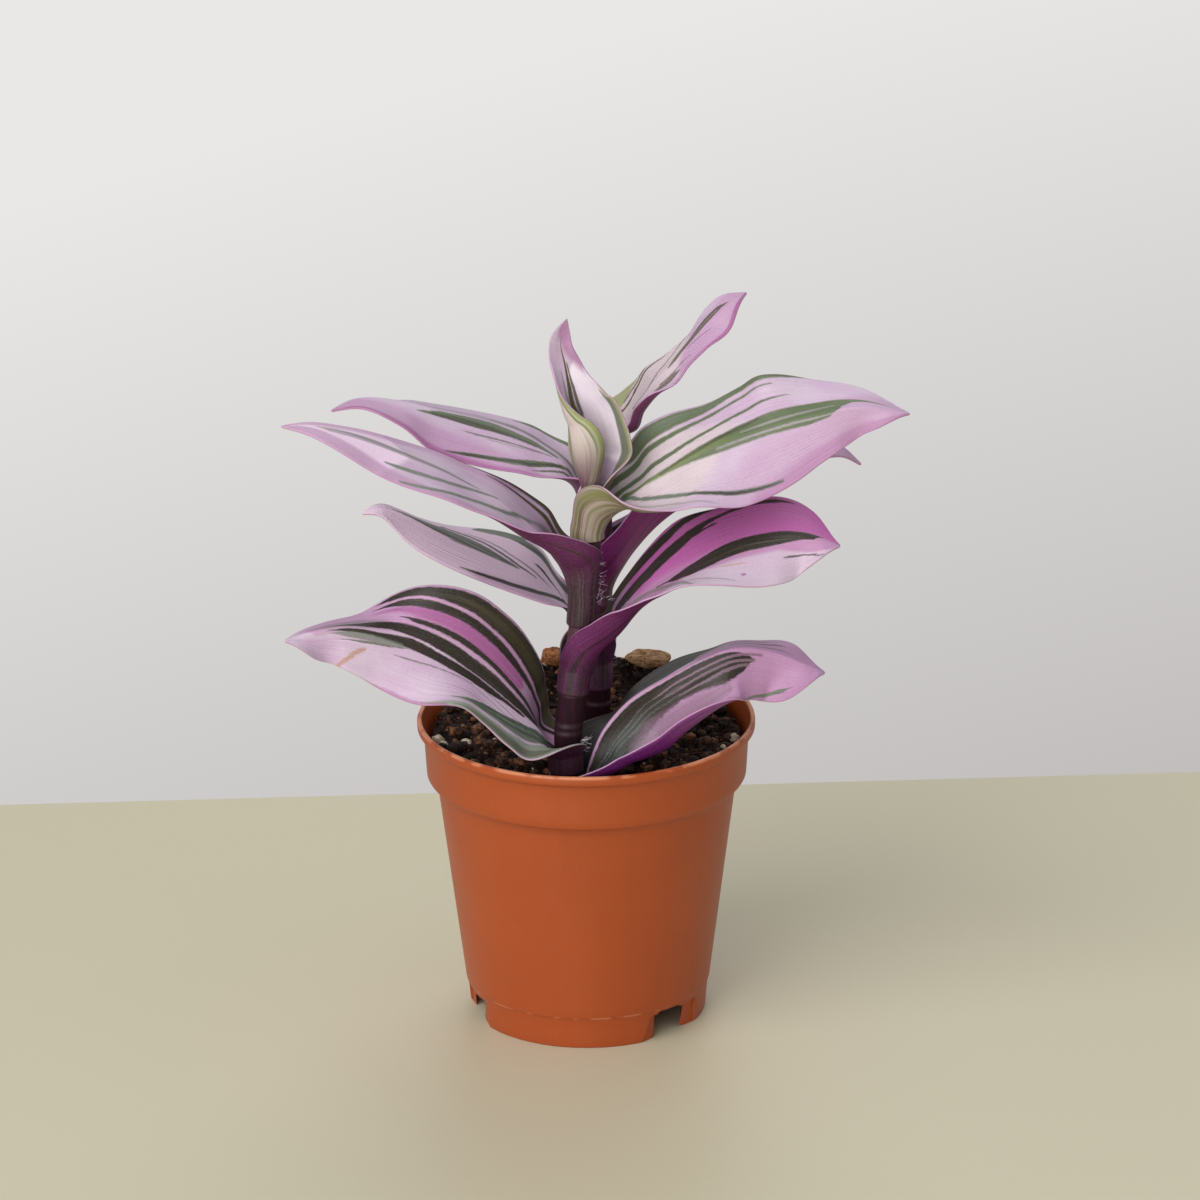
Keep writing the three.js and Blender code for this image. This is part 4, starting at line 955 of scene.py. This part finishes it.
        ["sage", 0.05, [[0.42, 0.07, 0.11], [0.55, 0.06, 0.14], [0.68, 0.1, 0.24], [0.78, 0.14, 0.3],
            [0.85, 0.16, 0.2]], 0.6],
    ],
    "leaf_front_5": [
        ["cream", 0.3, [[0, -1, 1], [0.15, -1, 1], [0.3, -0.7, 0.7], [0.5, 0.2, 0.3]], 0.5],
        ["magenta", 0.25, [[0.5, -1.2, -0.86], [0.65, -1.2, -0.7], [0.8, -1.2, -0.6],
            [1, -1.2, -0.5]], 0.55],
        ["pink", 0.5, [[0.5, -1.2, -0.3], [0.7, -1.2, -0.2], [1, -1.2, 1.2]], 0.45],
        ["green", 0.05, [[0.02, 0.74, 0.97], [0.15, 0.73, 0.96], [0.22, 0.7, 0.96], [0.3, 0.69, 0.96],
            [0.36, 0.72, 0.96], [0.42, 0.8, 0.97], [0.48, 0.88, 1.0], [0.58, 0.9, 1.1], [0.66, 0.93, 1.1],
            [0.73, 1, 1.05]]],
        ["sage", 0.08, [[0.1, 0.8, 0.9], [0.3, 0.78, 0.9], [0.42, 0.86, 0.92], [0.5, 0.93, 0.97]], 0.6],
        ["green", 0.04, [[0.02, 0.42, 0.6], [0.1, 0.5, 0.62], [0.15, 0.56, 0.68], [0.2, 0.57, 0.68],
            [0.25, 0.53, 0.64], [0.3, 0.53, 0.62], [0.35, 0.56, 0.64], [0.4, 0.62, 0.69],
            [0.45, 0.69, 0.75], [0.5, 0.74, 0.79], [0.56, 0.77, 0.81], [0.62, 0.8, 0.82]]],
        ["green", 0.035, [[0.02, 0.2, 0.36], [0.11, 0.3, 0.39], [0.15, 0.31, 0.42], [0.2, 0.25, 0.36],
            [0.25, 0.2, 0.3], [0.3, 0.21, 0.29], [0.35, 0.26, 0.33], [0.4, 0.33, 0.39], [0.45, 0.4, 0.46],
            [0.5, 0.45, 0.51], [0.56, 0.48, 0.53], [0.62, 0.52, 0.55], [0.66, 0.56, 0.57]]],
        ["green", 0.05, [[0.1, 0.1, 0.26], [0.16, 0.02, 0.14], [0.22, -0.03, 0.04], [0.27, -0.05, 0.03],
            [0.32, -0.08, 0.07], [0.4, -0.11, 0.14], [0.45, -0.12, 0.2], [0.5, -0.11, 0.25],
            [0.57, -0.1, 0.27], [0.65, -0.13, 0.29], [0.7, -0.16, 0.31], [0.76, -0.12, 0.34],
            [0.8, 0.05, 0.34], [0.83, 0.2, 0.33], [0.9, 0.27, 0.33], [0.95, 0.33, 0.36]]],
        ["lime", 0.1, [[0.12, 0.06, 0.2], [0.2, -0.03, 0.06], [0.3, -0.06, 0.04], [0.42, 0.0, 0.1],
            [0.5, 0.04, 0.05]], 0.35],
        ["dark", 0.06, [[0.24, -0.02, 0.02], [0.36, 0.02, 0.07], [0.46, 0.12, 0.19],
            [0.56, 0.22, 0.25]], 0.5],
        ["pale", 0.04, [[0.42, -0.06, -0.045], [0.55, -0.05, -0.02], [0.65, -0.06, -0.02],
            [0.72, -0.08, -0.04], [0.78, -0.07, -0.05]], 0.5],
        ["pale", 0.05, [[0.5, 0.08, 0.1], [0.6, 0.08, 0.12], [0.7, 0.1, 0.14], [0.78, 0.14, 0.16]], 0.4],
        ["sage", 0.05, [[0.02, 0.42, 0.58], [0.06, 0.24, 0.4], [0.1, 0.04, 0.16], [0.13, -0.1, 0.0],
            [0.15, -0.2, -0.11], [0.2, -0.36, -0.27], [0.25, -0.51, -0.42], [0.3, -0.64, -0.56],
            [0.35, -0.73, -0.66], [0.4, -0.78, -0.71], [0.5, -0.84, -0.77], [0.58, -0.88, -0.84]]],
        ["dark", 0.05, [[0.28, -0.6, -0.58], [0.35, -0.72, -0.67], [0.42, -0.79, -0.73],
            [0.5, -0.84, -0.79], [0.58, -0.88, -0.86]], 0.75],
        ["sage", 0.06, [[0.04, 0.1, 0.18], [0.1, -0.2, -0.12], [0.15, -0.42, -0.35], [0.22, -0.64, -0.58],
            [0.3, -0.84, -0.79], [0.37, -0.93, -0.9]], 0.5],
    ],
    "leaf_front_6": [
        ["pale", 0.5, [[0, -1, 1], [0.5, -1, 1], [0.7, -0.6, 0.6]], 0.7],
        # painted light: a near-white wash over the far half, which the lamps leave too dark
        ["frost", 0.3, [[0.2, 0, 1.2], [0.5, 0, 1.2], [0.66, 0, 1.2]], 0.8],
        ["magenta", 0.5, [[0.72, 0.5, 1.2], [0.84, 0.1, 1.2], [0.92, -0.6, 1.2], [1, -1.4, 1.4]], 0.55],
        ["green", 0.06, [[0, 0.5, 0.86], [0.2, 0.62, 0.88], [0.35, 0.66, 0.88], [0.45, 0.74, 0.9],
            [0.54, 0.86, 0.9]], 0.9],
        ["lime", 0.06, [[0, 0.84, 1.1], [0.3, 0.86, 1.1], [0.45, 0.88, 1.1], [0.58, 1, 1.05]], 0.9],
        ["lime", 0.05, [[0, -1.1, -0.8], [0.3, -1.1, -0.82], [0.42, -1.1, -0.88], [0.5, -1.1, -0.96]], 0.9],
        ["olive", 0.04, [[0.3, -0.06, 0.04], [0.4, -0.07, 0.0], [0.48, -0.03, 0.06], [0.58, 0.02, 0.12],
            [0.72, 0.07, 0.14]], 0.9],
        ["olive", 0.05, [[0.34, -0.14, -0.06], [0.5, -0.17, -0.05], [0.6, -0.13, 0.01], [0.7, -0.1, 0.02],
            [0.8, -0.06, 0.05], [0.9, 0.0, 0.03]]],
        ["sage", 0.04, [[0.5, -0.22, -0.16], [0.6, -0.28, -0.2], [0.69, -0.38, -0.34]], 0.7],
    ],
    "leaf_back_1": [
        ["pink", 0.3, [[0, -1.2, 1.2], [0.4, -1.2, 1.1], [0.6, -1.2, 0.2], [0.75, -0.8, -0.6]], 0.5],
        # painted light: a near-white wash over the leaf, which lies in shade under the leaves above
        ["bloom", 0.3, [[0.25, -1.2, 1.2], [0.7, -1.2, 1.2], [1, -1.2, 1.2]], 1.0],
        ["magenta", 0.3, [[0.3, -1.1, -0.5], [0.55, -1.1, -0.7]], 0.35],
        ["sage", 0.04, [[0, 0.65, 0.9], [0.25, 0.65, 0.82], [0.3, 0.65, 0.85], [0.4, 0.7, 0.92],
            [0.45, 0.78, 1.1], [0.55, 0.8, 1.1], [0.59, 0.85, 0.9]]],
        ["dark", 0.06, [[0, 0.65, 0.95], [0.28, 0.68, 0.85], [0.4, 0.74, 0.8], [0.46, 0.8, 0.8]], 0.7],
        ["dark", 0.03, [[0, 0.2, 0.3], [0.23, 0.22, 0.29], [0.3, 0.26, 0.37], [0.35, 0.33, 0.41],
            [0.375, 0.37, 0.37]]],
        ["dark", 0.03, [[0.29, 0.03, 0.05], [0.35, 0.07, 0.13], [0.4, 0.13, 0.19], [0.45, 0.23, 0.28],
            [0.5, 0.36, 0.41], [0.56, 0.48, 0.52], [0.62, 0.56, 0.58]], 0.65],
        ["dark", 0.03, [[0.36, -0.05, -0.02], [0.42, -0.01, 0.06], [0.45, 0.06, 0.13], [0.5, 0.18, 0.26],
            [0.55, 0.31, 0.38], [0.6, 0.4, 0.47], [0.7, 0.58, 0.66]], 0.9],
        ["sage", 0.05, [[0.43, -0.07, -0.04], [0.5, -0.07, 0.11], [0.55, -0.08, 0.22], [0.6, -0.08, 0.33],
            [0.65, -0.07, 0.43], [0.7, -0.06, 0.55], [0.77, -0.04, 0.5], [0.85, -0.03, 0.2],
            [0.9, 0, 0.02]]],
        ["dark", 0.1, [[0.43, -0.08, 0.0], [0.55, -0.08, 0.15], [0.7, -0.05, 0.3], [0.82, 0, 0.1]], 0.5],
        ["pale", 0.012, [[0.5, -0.03, -0.01], [0.6, 0.03, 0.06], [0.68, 0.18, 0.22]], 0.6],
        ["grey", 0.03, [[0.6, -0.1, -0.08], [0.66, -0.12, -0.07], [0.69, -0.1, -0.1]], 0.8],
        ["dark", 0.05, [[0.05, 0.1, 0.32], [0.2, 0.02, 0.18], [0.25, -0.24, -0.06], [0.3, -0.46, -0.26],
            [0.35, -0.66, -0.48], [0.4, -0.76, -0.6], [0.45, -0.81, -0.67], [0.5, -0.83, -0.7],
            [0.57, -0.86, -0.77], [0.63, -0.86, -0.84]]],
    ],
    "leaf_back_3": [
        ["pink", 0.3, [[0.3, -1.2, -0.5], [0.55, -1.2, -0.45], [0.8, -1.2, -0.3], [1, -1.2, 0.2]], 0.7],
        ["magenta", 0.12, [[0.1, -1.2, -0.86], [0.4, -1.2, -0.9], [0.7, -1.2, -0.86],
            [1, -1.2, -0.8]], 0.7],
        ["green", 0.04, [[0, 0.82, 1.1], [0.24, 0.87, 1.1], [0.3, 0.88, 1.1], [0.34, 0.84, 0.97],
            [0.39, 0.88, 0.9]]],
        ["olive", 0.08, [[0, 0.25, 0.42], [0.2, 0.28, 0.43], [0.3, 0.34, 0.48], [0.38, 0.41, 0.54],
            [0.46, 0.48, 0.55]], 0.7],
        ["grey", 0.12, [[0.38, 0.4, 0.6], [0.5, 0.42, 0.65], [0.62, 0.3, 0.5], [0.7, 0.2, 0.3]], 0.45],
        ["green", 0.03, [[0.22, -0.03, 0.0], [0.26, -0.02, 0.12], [0.3, -0.02, 0.2], [0.37, -0.03, 0.23],
            [0.45, -0.08, 0.33], [0.5, -0.12, 0.32], [0.55, -0.13, 0.25], [0.6, -0.12, 0.1],
            [0.65, -0.14, -0.03], [0.71, -0.18, -0.15]]],
        ["dark", 0.06, [[0.3, -0.03, 0.04], [0.45, -0.08, 0.1], [0.55, -0.13, 0.02],
            [0.66, -0.14, -0.08]], 0.6],
        ["grey", 0.02, [[0.24, -0.06, -0.04], [0.3, -0.14, -0.1], [0.4, -0.22, -0.18], [0.5, -0.3, -0.25],
            [0.55, -0.29, -0.28]], 0.9],
        ["grey", 0.02, [[0.3, -0.16, -0.14], [0.38, -0.26, -0.23], [0.46, -0.31, -0.29]], 0.5],
        ["green", 0.04, [[0.05, 0.1, 0.2], [0.17, -0.08, 0.0], [0.2, -0.22, -0.1], [0.25, -0.45, -0.25],
            [0.3, -0.65, -0.42], [0.35, -0.76, -0.57], [0.4, -0.77, -0.64], [0.45, -0.79, -0.69],
            [0.52, -0.84, -0.76], [0.6, -0.88, -0.87]]],
        ["dark", 0.05, [[0.2, -0.2, -0.12], [0.3, -0.62, -0.5], [0.4, -0.76, -0.67], [0.52, -0.84, -0.77],
            [0.6, -0.88, -0.87]], 0.75],
        ["olive", 0.04, [[0.1, -0.1, 0.0], [0.17, -0.26, -0.16], [0.2, -0.44, -0.34], [0.25, -0.66, -0.56],
            [0.29, -0.78, -0.76]], 0.9],
    ],
    "leaf_back_4": [
        ["cream", 0.3, [[0, -1, 1], [0.4, -0.6, 1.1], [0.6, -0.2, 1]], 0.5],
        ["pink", 0.3, [[0.6, -1.2, 0], [0.8, -1.2, 0.4], [1, -1.2, 1.2]], 0.6],
        ["magenta", 0.1, [[0.5, -1.1, -0.93], [0.7, -1.1, -0.93], [0.85, -1.1, -0.8],
            [1, -1.2, -0.4]], 0.8],
        ["lime", 0.05, [[0, 0.5, 0.9], [0.2, 0.62, 1.0], [0.3, 0.9, 1.1], [0.36, 1, 1.05]], 0.8],
        ["olive", 0.03, [[0, 0.3, 0.45], [0.2, 0.45, 0.52], [0.25, 0.53, 0.6], [0.3, 0.68, 0.75],
            [0.35, 0.78, 0.84], [0.4, 0.85, 0.91], [0.46, 0.89, 0.94], [0.53, 0.87, 0.88]]],
        ["olive", 0.03, [[0.22, 0.66, 0.7], [0.3, 0.8, 0.86], [0.36, 0.9, 0.95], [0.42, 0.98, 1.02]], 0.8],
        ["olive", 0.04, [[0.25, -0.02, 0.08], [0.34, 0.06, 0.14], [0.4, 0.16, 0.25], [0.45, 0.31, 0.38],
            [0.5, 0.37, 0.44], [0.55, 0.48, 0.56], [0.6, 0.76, 0.86], [0.64, 1, 1.05]], 0.8],
        ["olive", 0.05, [[0.5, -0.07, -0.03], [0.56, -0.1, 0.02], [0.6, -0.06, 0.18], [0.66, -0.04, 0.35],
            [0.72, -0.02, 0.4], [0.8, 0.04, 0.42], [0.85, 0.15, 0.42], [0.9, 0.2, 0.25]], 0.9],
        ["pale", 0.02, [[0.64, 0.12, 0.15], [0.75, 0.16, 0.19], [0.84, 0.24, 0.27]], 0.6],
        ["grey", 0.03, [[0.62, -0.13, -0.11], [0.7, -0.23, -0.18], [0.77, -0.34, -0.31]], 0.9],
        ["olive", 0.06, [[0.36, -0.3, -0.2], [0.44, -0.55, -0.3], [0.5, -0.56, -0.34],
            [0.54, -0.56, -0.5]], 0.8],
        ["olive", 0.03, [[0.42, -0.27, -0.22], [0.5, -0.35, -0.3], [0.57, -0.43, -0.39],
            [0.63, -0.57, -0.55]], 0.8],
    ],
    "leaf_back_2": [
        ["pink", 0.3, [[0, -1.2, 1.2], [1, -1.2, 1.2]], 0.8],
        ["dark", 0.03, [[0, 0.6, 0.9], [0.3, 0.62, 0.9], [0.6, 0.8, 0.92], [0.72, 0.92, 0.92]]],
        ["dark", 0.03, [[0, 0.02, 0.2], [0.4, 0.02, 0.2], [0.6, 0.05, 0.25], [0.8, 0.12, 0.14]]],
        ["sage", 0.03, [[0, -0.4, -0.2], [0.3, -0.6, -0.45], [0.5, -0.72, -0.62], [0.65, -0.8, -0.8]]],
        ["dark", 0.03, [[0.1, -0.15, -0.05], [0.4, -0.2, -0.06], [0.7, -0.12, -0.04],
            [0.85, -0.06, -0.06]]],
    ],
}


def between(rows, share):
    last = len(rows) - 1
    i = 0
    while i < last - 1 and share >= rows[i + 1][0]:
        i += 1
    span = rows[i + 1][0] - rows[i][0]
    w = min(max((share - rows[i][0]) / span, 0), 1)

    def slope(k, column):
        before, after = rows[max(k - 1, 0)], rows[min(k + 1, last)]
        return (after[column] - before[column]) / (after[0] - before[0]) * span

    return [rows[i][c] + smooth(w) * (rows[i + 1][c] - rows[i][c]) + (w ** 3 - 2 * w ** 2 + w) * slope(i, c)
            + (w ** 3 - w ** 2) * slope(i + 1, c) for c in (1, 2, 3, 4)]


def curvePoints(path, count=40):
    p = extended([np.array(step, float) for step in path])
    shares = np.linspace(0, 1, count, endpoint=False)
    out = [bent(*p[i:i + 4], w) for i in range(len(path) - 1) for w in shares]
    return np.array(out + [p[-2]]), count


def leafRows(leaf):  # centre, facing and side of each row, and its share of the blade (below 0 in the sheath)
    points, stretch = curvePoints(leaf["midrib"])
    length = np.concatenate([[0], np.cumsum(np.linalg.norm(np.diff(points, axis=0), axis=1))])
    mouth = length[stretch]
    blade = length[-1] - mouth
    places = np.concatenate([np.linspace(0, mouth, leafSet["sheathRows"], endpoint=False),
                             mouth + blade * np.linspace(0, leafSet["tip"], leafSet["bladeRows"] + 1)])

    def at(where):
        return np.stack([np.interp(where, length, points[:, k]) for k in range(3)], 1)

    along = at(places + 0.05) - at(places - 0.05)
    along /= np.linalg.norm(along, axis=1)[:, None]
    bearing = math.radians(leaf["bearing"])
    facing = np.array([-math.cos(bearing), -math.sin(bearing), 0])
    rows = []
    for centre, ahead, where in zip(at(places), along, places):
        facing = facing - facing.dot(ahead) * ahead
        facing /= np.linalg.norm(facing)
        side = np.cross(ahead, facing)
        rows.append((centre, facing.copy(), side, (where - mouth) / blade, where / mouth))
    return rows


def leafPoint(row, plus, minus, place):  # place runs from -1 to 1 across the leaf
    centre, facing, side = row[:3]
    width, lift, bend, sag = (minus if place < 0 else plus)
    turn = math.radians(bend * abs(place)) / 2
    chord = width * place * (math.sin(turn) / turn if abs(turn) > 1e-4 else 1)
    angle = math.radians(lift) + turn
    gutter = sag * math.sin(math.pi * max(abs(place) - leafSet["sagFrom"], 0) / (1 - leafSet["sagFrom"]))
    return centre + chord * math.cos(angle) * side + (abs(chord) * math.sin(angle) - gutter) * facing


def leafSheet(name, fixed):  # a material with its own maps: across the leaf, along it, and its noises
    material, sheet, shader = newMaterial(name, Specular_IOR_Level=fixed)
    uv = sheet.node("ShaderNodeUVMap", {"uv_map": "leafMap"})
    across, along = uv.split(0) * 2 - 1, uv.split(1)
    seed = float(sum(ord(c) for c in name) % 97)

    def noisy(wide, long, offset, detail=3.0):
        return grain(sheet, (across * wide).join(along * long, seed + offset), 1.0, detail)

    return material, sheet, shader, across, along, noisy


def finishLeaf(sheet, shader, colour, across, along, noisy, rim, gloss):
    margin = 1 - (1 - across.math("ABSOLUTE", across)).edge(0.004, 0.016)
    open = along.edge(leafSet["sheathShare"] * 1.2, leafSet["sheathShare"] * 1.9)
    colour = (margin * open * 0.7).mix(colour, rim)
    feed(colour, shader, "Base Color")
    feed(noisy(60, 3.5, 9) * 0.12 + noisy(2.2, 6, 2) * 0.10 + gloss, shader, "Roughness")
    cells = grain(sheet, onObject(sheet), 2800.0, 2.0)
    first = bump(sheet, noisy(22, 1.2, 14), 0.35, 0.0006, shader)
    bump(sheet, cells, 0.12, 0.0002, shader, first)


def makeUpperMaterial(name, bands, tones):
    material, sheet, shader, across, along, noisy = leafSheet(name, 0.3)
    cloud, threads = noisy(2.2, 6, 2), noisy(42, 4, 9)
    where = across + (noisy(26, 7, 0) - 0.5) * leafSet["edgeJitter"]
    where += (noisy(130, 70, 3, 1.0) - 0.5) * leafSet["cellJitter"]
    reach = along + (noisy(34, 1.5, 5, 2.0) - 0.5) * leafSet["endJitter"]
    share = leafSet["sheathShare"]
    colour = cloud.edge(0.3, 0.75).mix(tones["lilac"], tones["pale"])
    for band in bands:
        tone, blur, rows = band[:3]
        strength = band[3] if len(band) > 3 else 1.0
        step, gap = 0.012 + blur * 0.4, 0.1 + blur
        ends = [[rows[k][0] + way * step] + [(rows[k][1] + rows[k][2]) / 2 + g for g in (gap, -gap)]
                for k, way in ((0, -1), (-1, 1))]
        rows = ends[:1] * (rows[0][0] > 0) + rows + ends[1:] * (rows[-1][0] < 1)
        stops = [(share + (1 - share) * max(t, 0), ((low + 2) / 4, (high + 2) / 4, 0, 1))
                 for t, low, high in rows]
        ramp = sheet.node("ShaderNodeValToRGB", {"stops": ("LINEAR", stops)}, {0: reach})
        low, high = ramp.split(0) * 4 - 2, ramp.split(1) * 4 - 2
        half = blur / 2
        mask = (where - low).edge(-half, half) * (high - where).edge(-half, half) * strength
        colour = mask.mix(colour, tones[tone])
    colour = ((threads - 0.5).edge(0.0, 0.3) * 0.07).mix(colour, tones["cream"])
    colour = ((0.5 - threads).edge(0.0, 0.3) * 0.16).mix(colour, tones["plum"])
    specks = noisy(60, 120, 31, 2.0)
    colour = (specks.edge(0.5, 0.72) * 0.05).mix(colour, tones["cream"])
    colour = ((1 - specks).edge(0.5, 0.72) * 0.14).mix(colour, tones["plum"])
    # painted shade inside the sheath and on the blade's base, where the leaf wraps round the stem
    colour = ((1 - along.edge(share * 0.5, share * 1.1)) * 0.7).mix(colour, tones["shade"])
    finishLeaf(sheet, shader, colour, across, along, noisy, tones["rim"], 0.30)
    return material


def makeUnderMaterial(name, skins, rim):
    material, sheet, shader, across, along, noisy = leafSheet(name, 0.42)
    skins = [rgb(*skin) for skin in skins]
    ground, stripes, streaks, blade, bladeStripes = skins[:5]
    share = leafSet["sheathShare"]
    lines, hairlines = noisy(9, 1.0, 21, 2.0), noisy(26, 1.6, 27, 2.0)
    sheath = lines.edge(0.44, 0.54).mix(ground, stripes)
    sheath = (hairlines.edge(0.54, 0.62) * 0.9).mix(sheath, streaks)
    open = lines.edge(0.5, 0.64).mix(blade, bladeStripes)
    open = (hairlines.edge(0.58, 0.72) * 0.5).mix(open, bladeStripes)
    reach = 2.0 if len(skins) < 6 else 4.5
    if len(skins) > 5:  # a bright band along both margins
        open = across.math("ABSOLUTE", across).edge(0.86, 0.95).mix(open, skins[5])
    colour = along.edge(share * 0.9, share * reach).mix(sheath, open)
    specks = noisy(60, 120, 31, 2.0)
    colour = ((specks - 0.5).edge(0.0, 0.25) * 0.14).mix(colour, upperTones["pink"])
    # painted shade: a dark purple at each sheath's foot, where it meets the stem
    foot = 1 - along.edge(0.0, share * 0.10)
    colour = (foot * 0.6).mix(colour, paintedFootShade)
    finishLeaf(sheet, shader, colour, across, along, noisy, rim, 0.32)
    return material


def makeLeaf(name, leaf):
    rows = leafRows(leaf)
    columns = leafSet["columns"]
    sheath = [0, leaf["sheathRadius"] * math.radians(leafSet["sheathBend"]), 0, leafSet["sheathBend"]]
    table = {half: [row + [0] for row in [sheath] + leaf[half] + [[1, 0, 0, 0]]] for half in ("near", "far")}
    farPlus = math.cos(math.radians(leaf["bearing"])) < 0
    bm = bmesh.new()
    bmesh.ops.create_grid(bm, x_segments=columns, y_segments=len(rows) - 1, size=1)
    uvs = bm.loops.layers.uv.new("leafMap")
    values = []
    for row in rows:
        near, far = [between(table[half], max(row[3], 0)) for half in ("near", "far")]
        values.append((far, near) if farPlus else (near, far))
    share = leafSet["sheathShare"]
    spots = {}
    for v in bm.verts:
        i = round((v.co.y + 1) / 2 * (len(rows) - 1))
        x = v.co.x
        row = rows[i]
        blade = share + (1 - share) * row[3] if row[3] >= 0 else share * min(row[4], 1)
        spots[v] = (((x if farPlus else -x) + 1) / 2, blade)
        v.co = place(*leafPoint(row, values[i][0], values[i][1], x))
    for face in bm.faces:
        for loop in face.loops:
            loop[uvs].uv = spots[loop.vert]
    materials = [makeUpperMaterial(name + "_upper", leafBands[name], upperTones),
                 makeUnderMaterial(name + "_under", underSkins[name], upperTones["rim"])]
    piece = addPiece(name + "_blade", bm, materials, name)
    shell = piece.modifiers.new("thickness", "SOLIDIFY")
    shell.thickness, shell.offset, shell.material_offset = leafSet["thickness"] * mm, 0, 1
    finer = piece.modifiers.new("rounding", "SUBSURF")
    finer.levels = finer.render_levels = 1


for name, leaf in leafShapes.items():
    makeLeaf(name, leaf)
print("leaves made")

# root, way, spread along the rim, length, count and curl of each tuft of fine hairs at a sheath's mouth
hairSet = {"radius": 0.03, "colour": rgb(226, 218, 222), "shade": rgb(214, 190, 208), "seed": 21, "tufts": [
    ((-0.9, -26.6, 73.2), (1, -0.1, 0.15), (0.4, 0.2, 1.2), 2.8, 18, 0.5),
    ((2.9, -21.6, 111.5), (1, -0.5, 0.15), (0.1, 0.3, 5.5), 2.4, 16, 0.9),
    ((3.6, -22.6, 106), (0.7, -0.3, 0.7), (1.6, 0.6, 1.2), 2.6, 12, 1.5),
    ((5.9, 0.4, 83), (0.8, -0.5, 0.3), (0.2, 0.8, 1.2), 1.8, 8, 0.8),
]}


def makeHairs():
    bm = bmesh.new()
    rng = random.Random(hairSet["seed"])
    for root, heading, spread, length, count, curl in hairSet["tufts"]:
        for _ in range(count):
            at = Vector([a + rng.uniform(-1, 1) * b for a, b in zip(root, spread)])
            way = Vector([a + rng.uniform(-0.55, 0.55) for a in heading]).normalized()
            bow = Vector((0, 0, rng.uniform(-1, 1) * curl))
            step = length * rng.uniform(0.5, 1) / 5
            points = [at + way * (k * step) + bow * (k / 5) ** 2 for k in range(6)]
            strand(bm, points, [hairSet["radius"] * w for w in (1, 1, 1, 0.9, 0.7, 0.4)])
    settle(bm)
    material, sheet, shader = newMaterial("sheathHair", Roughness=0.5)
    patches = grain(sheet, onObject(sheet), 900.0).edge(0.3, 0.7)
    feed(patches.mix(hairSet["colour"], hairSet["shade"]), shader, "Base Color")
    addPiece("sheathHairs", bm, [material])


makeHairs()
print("hairs made")
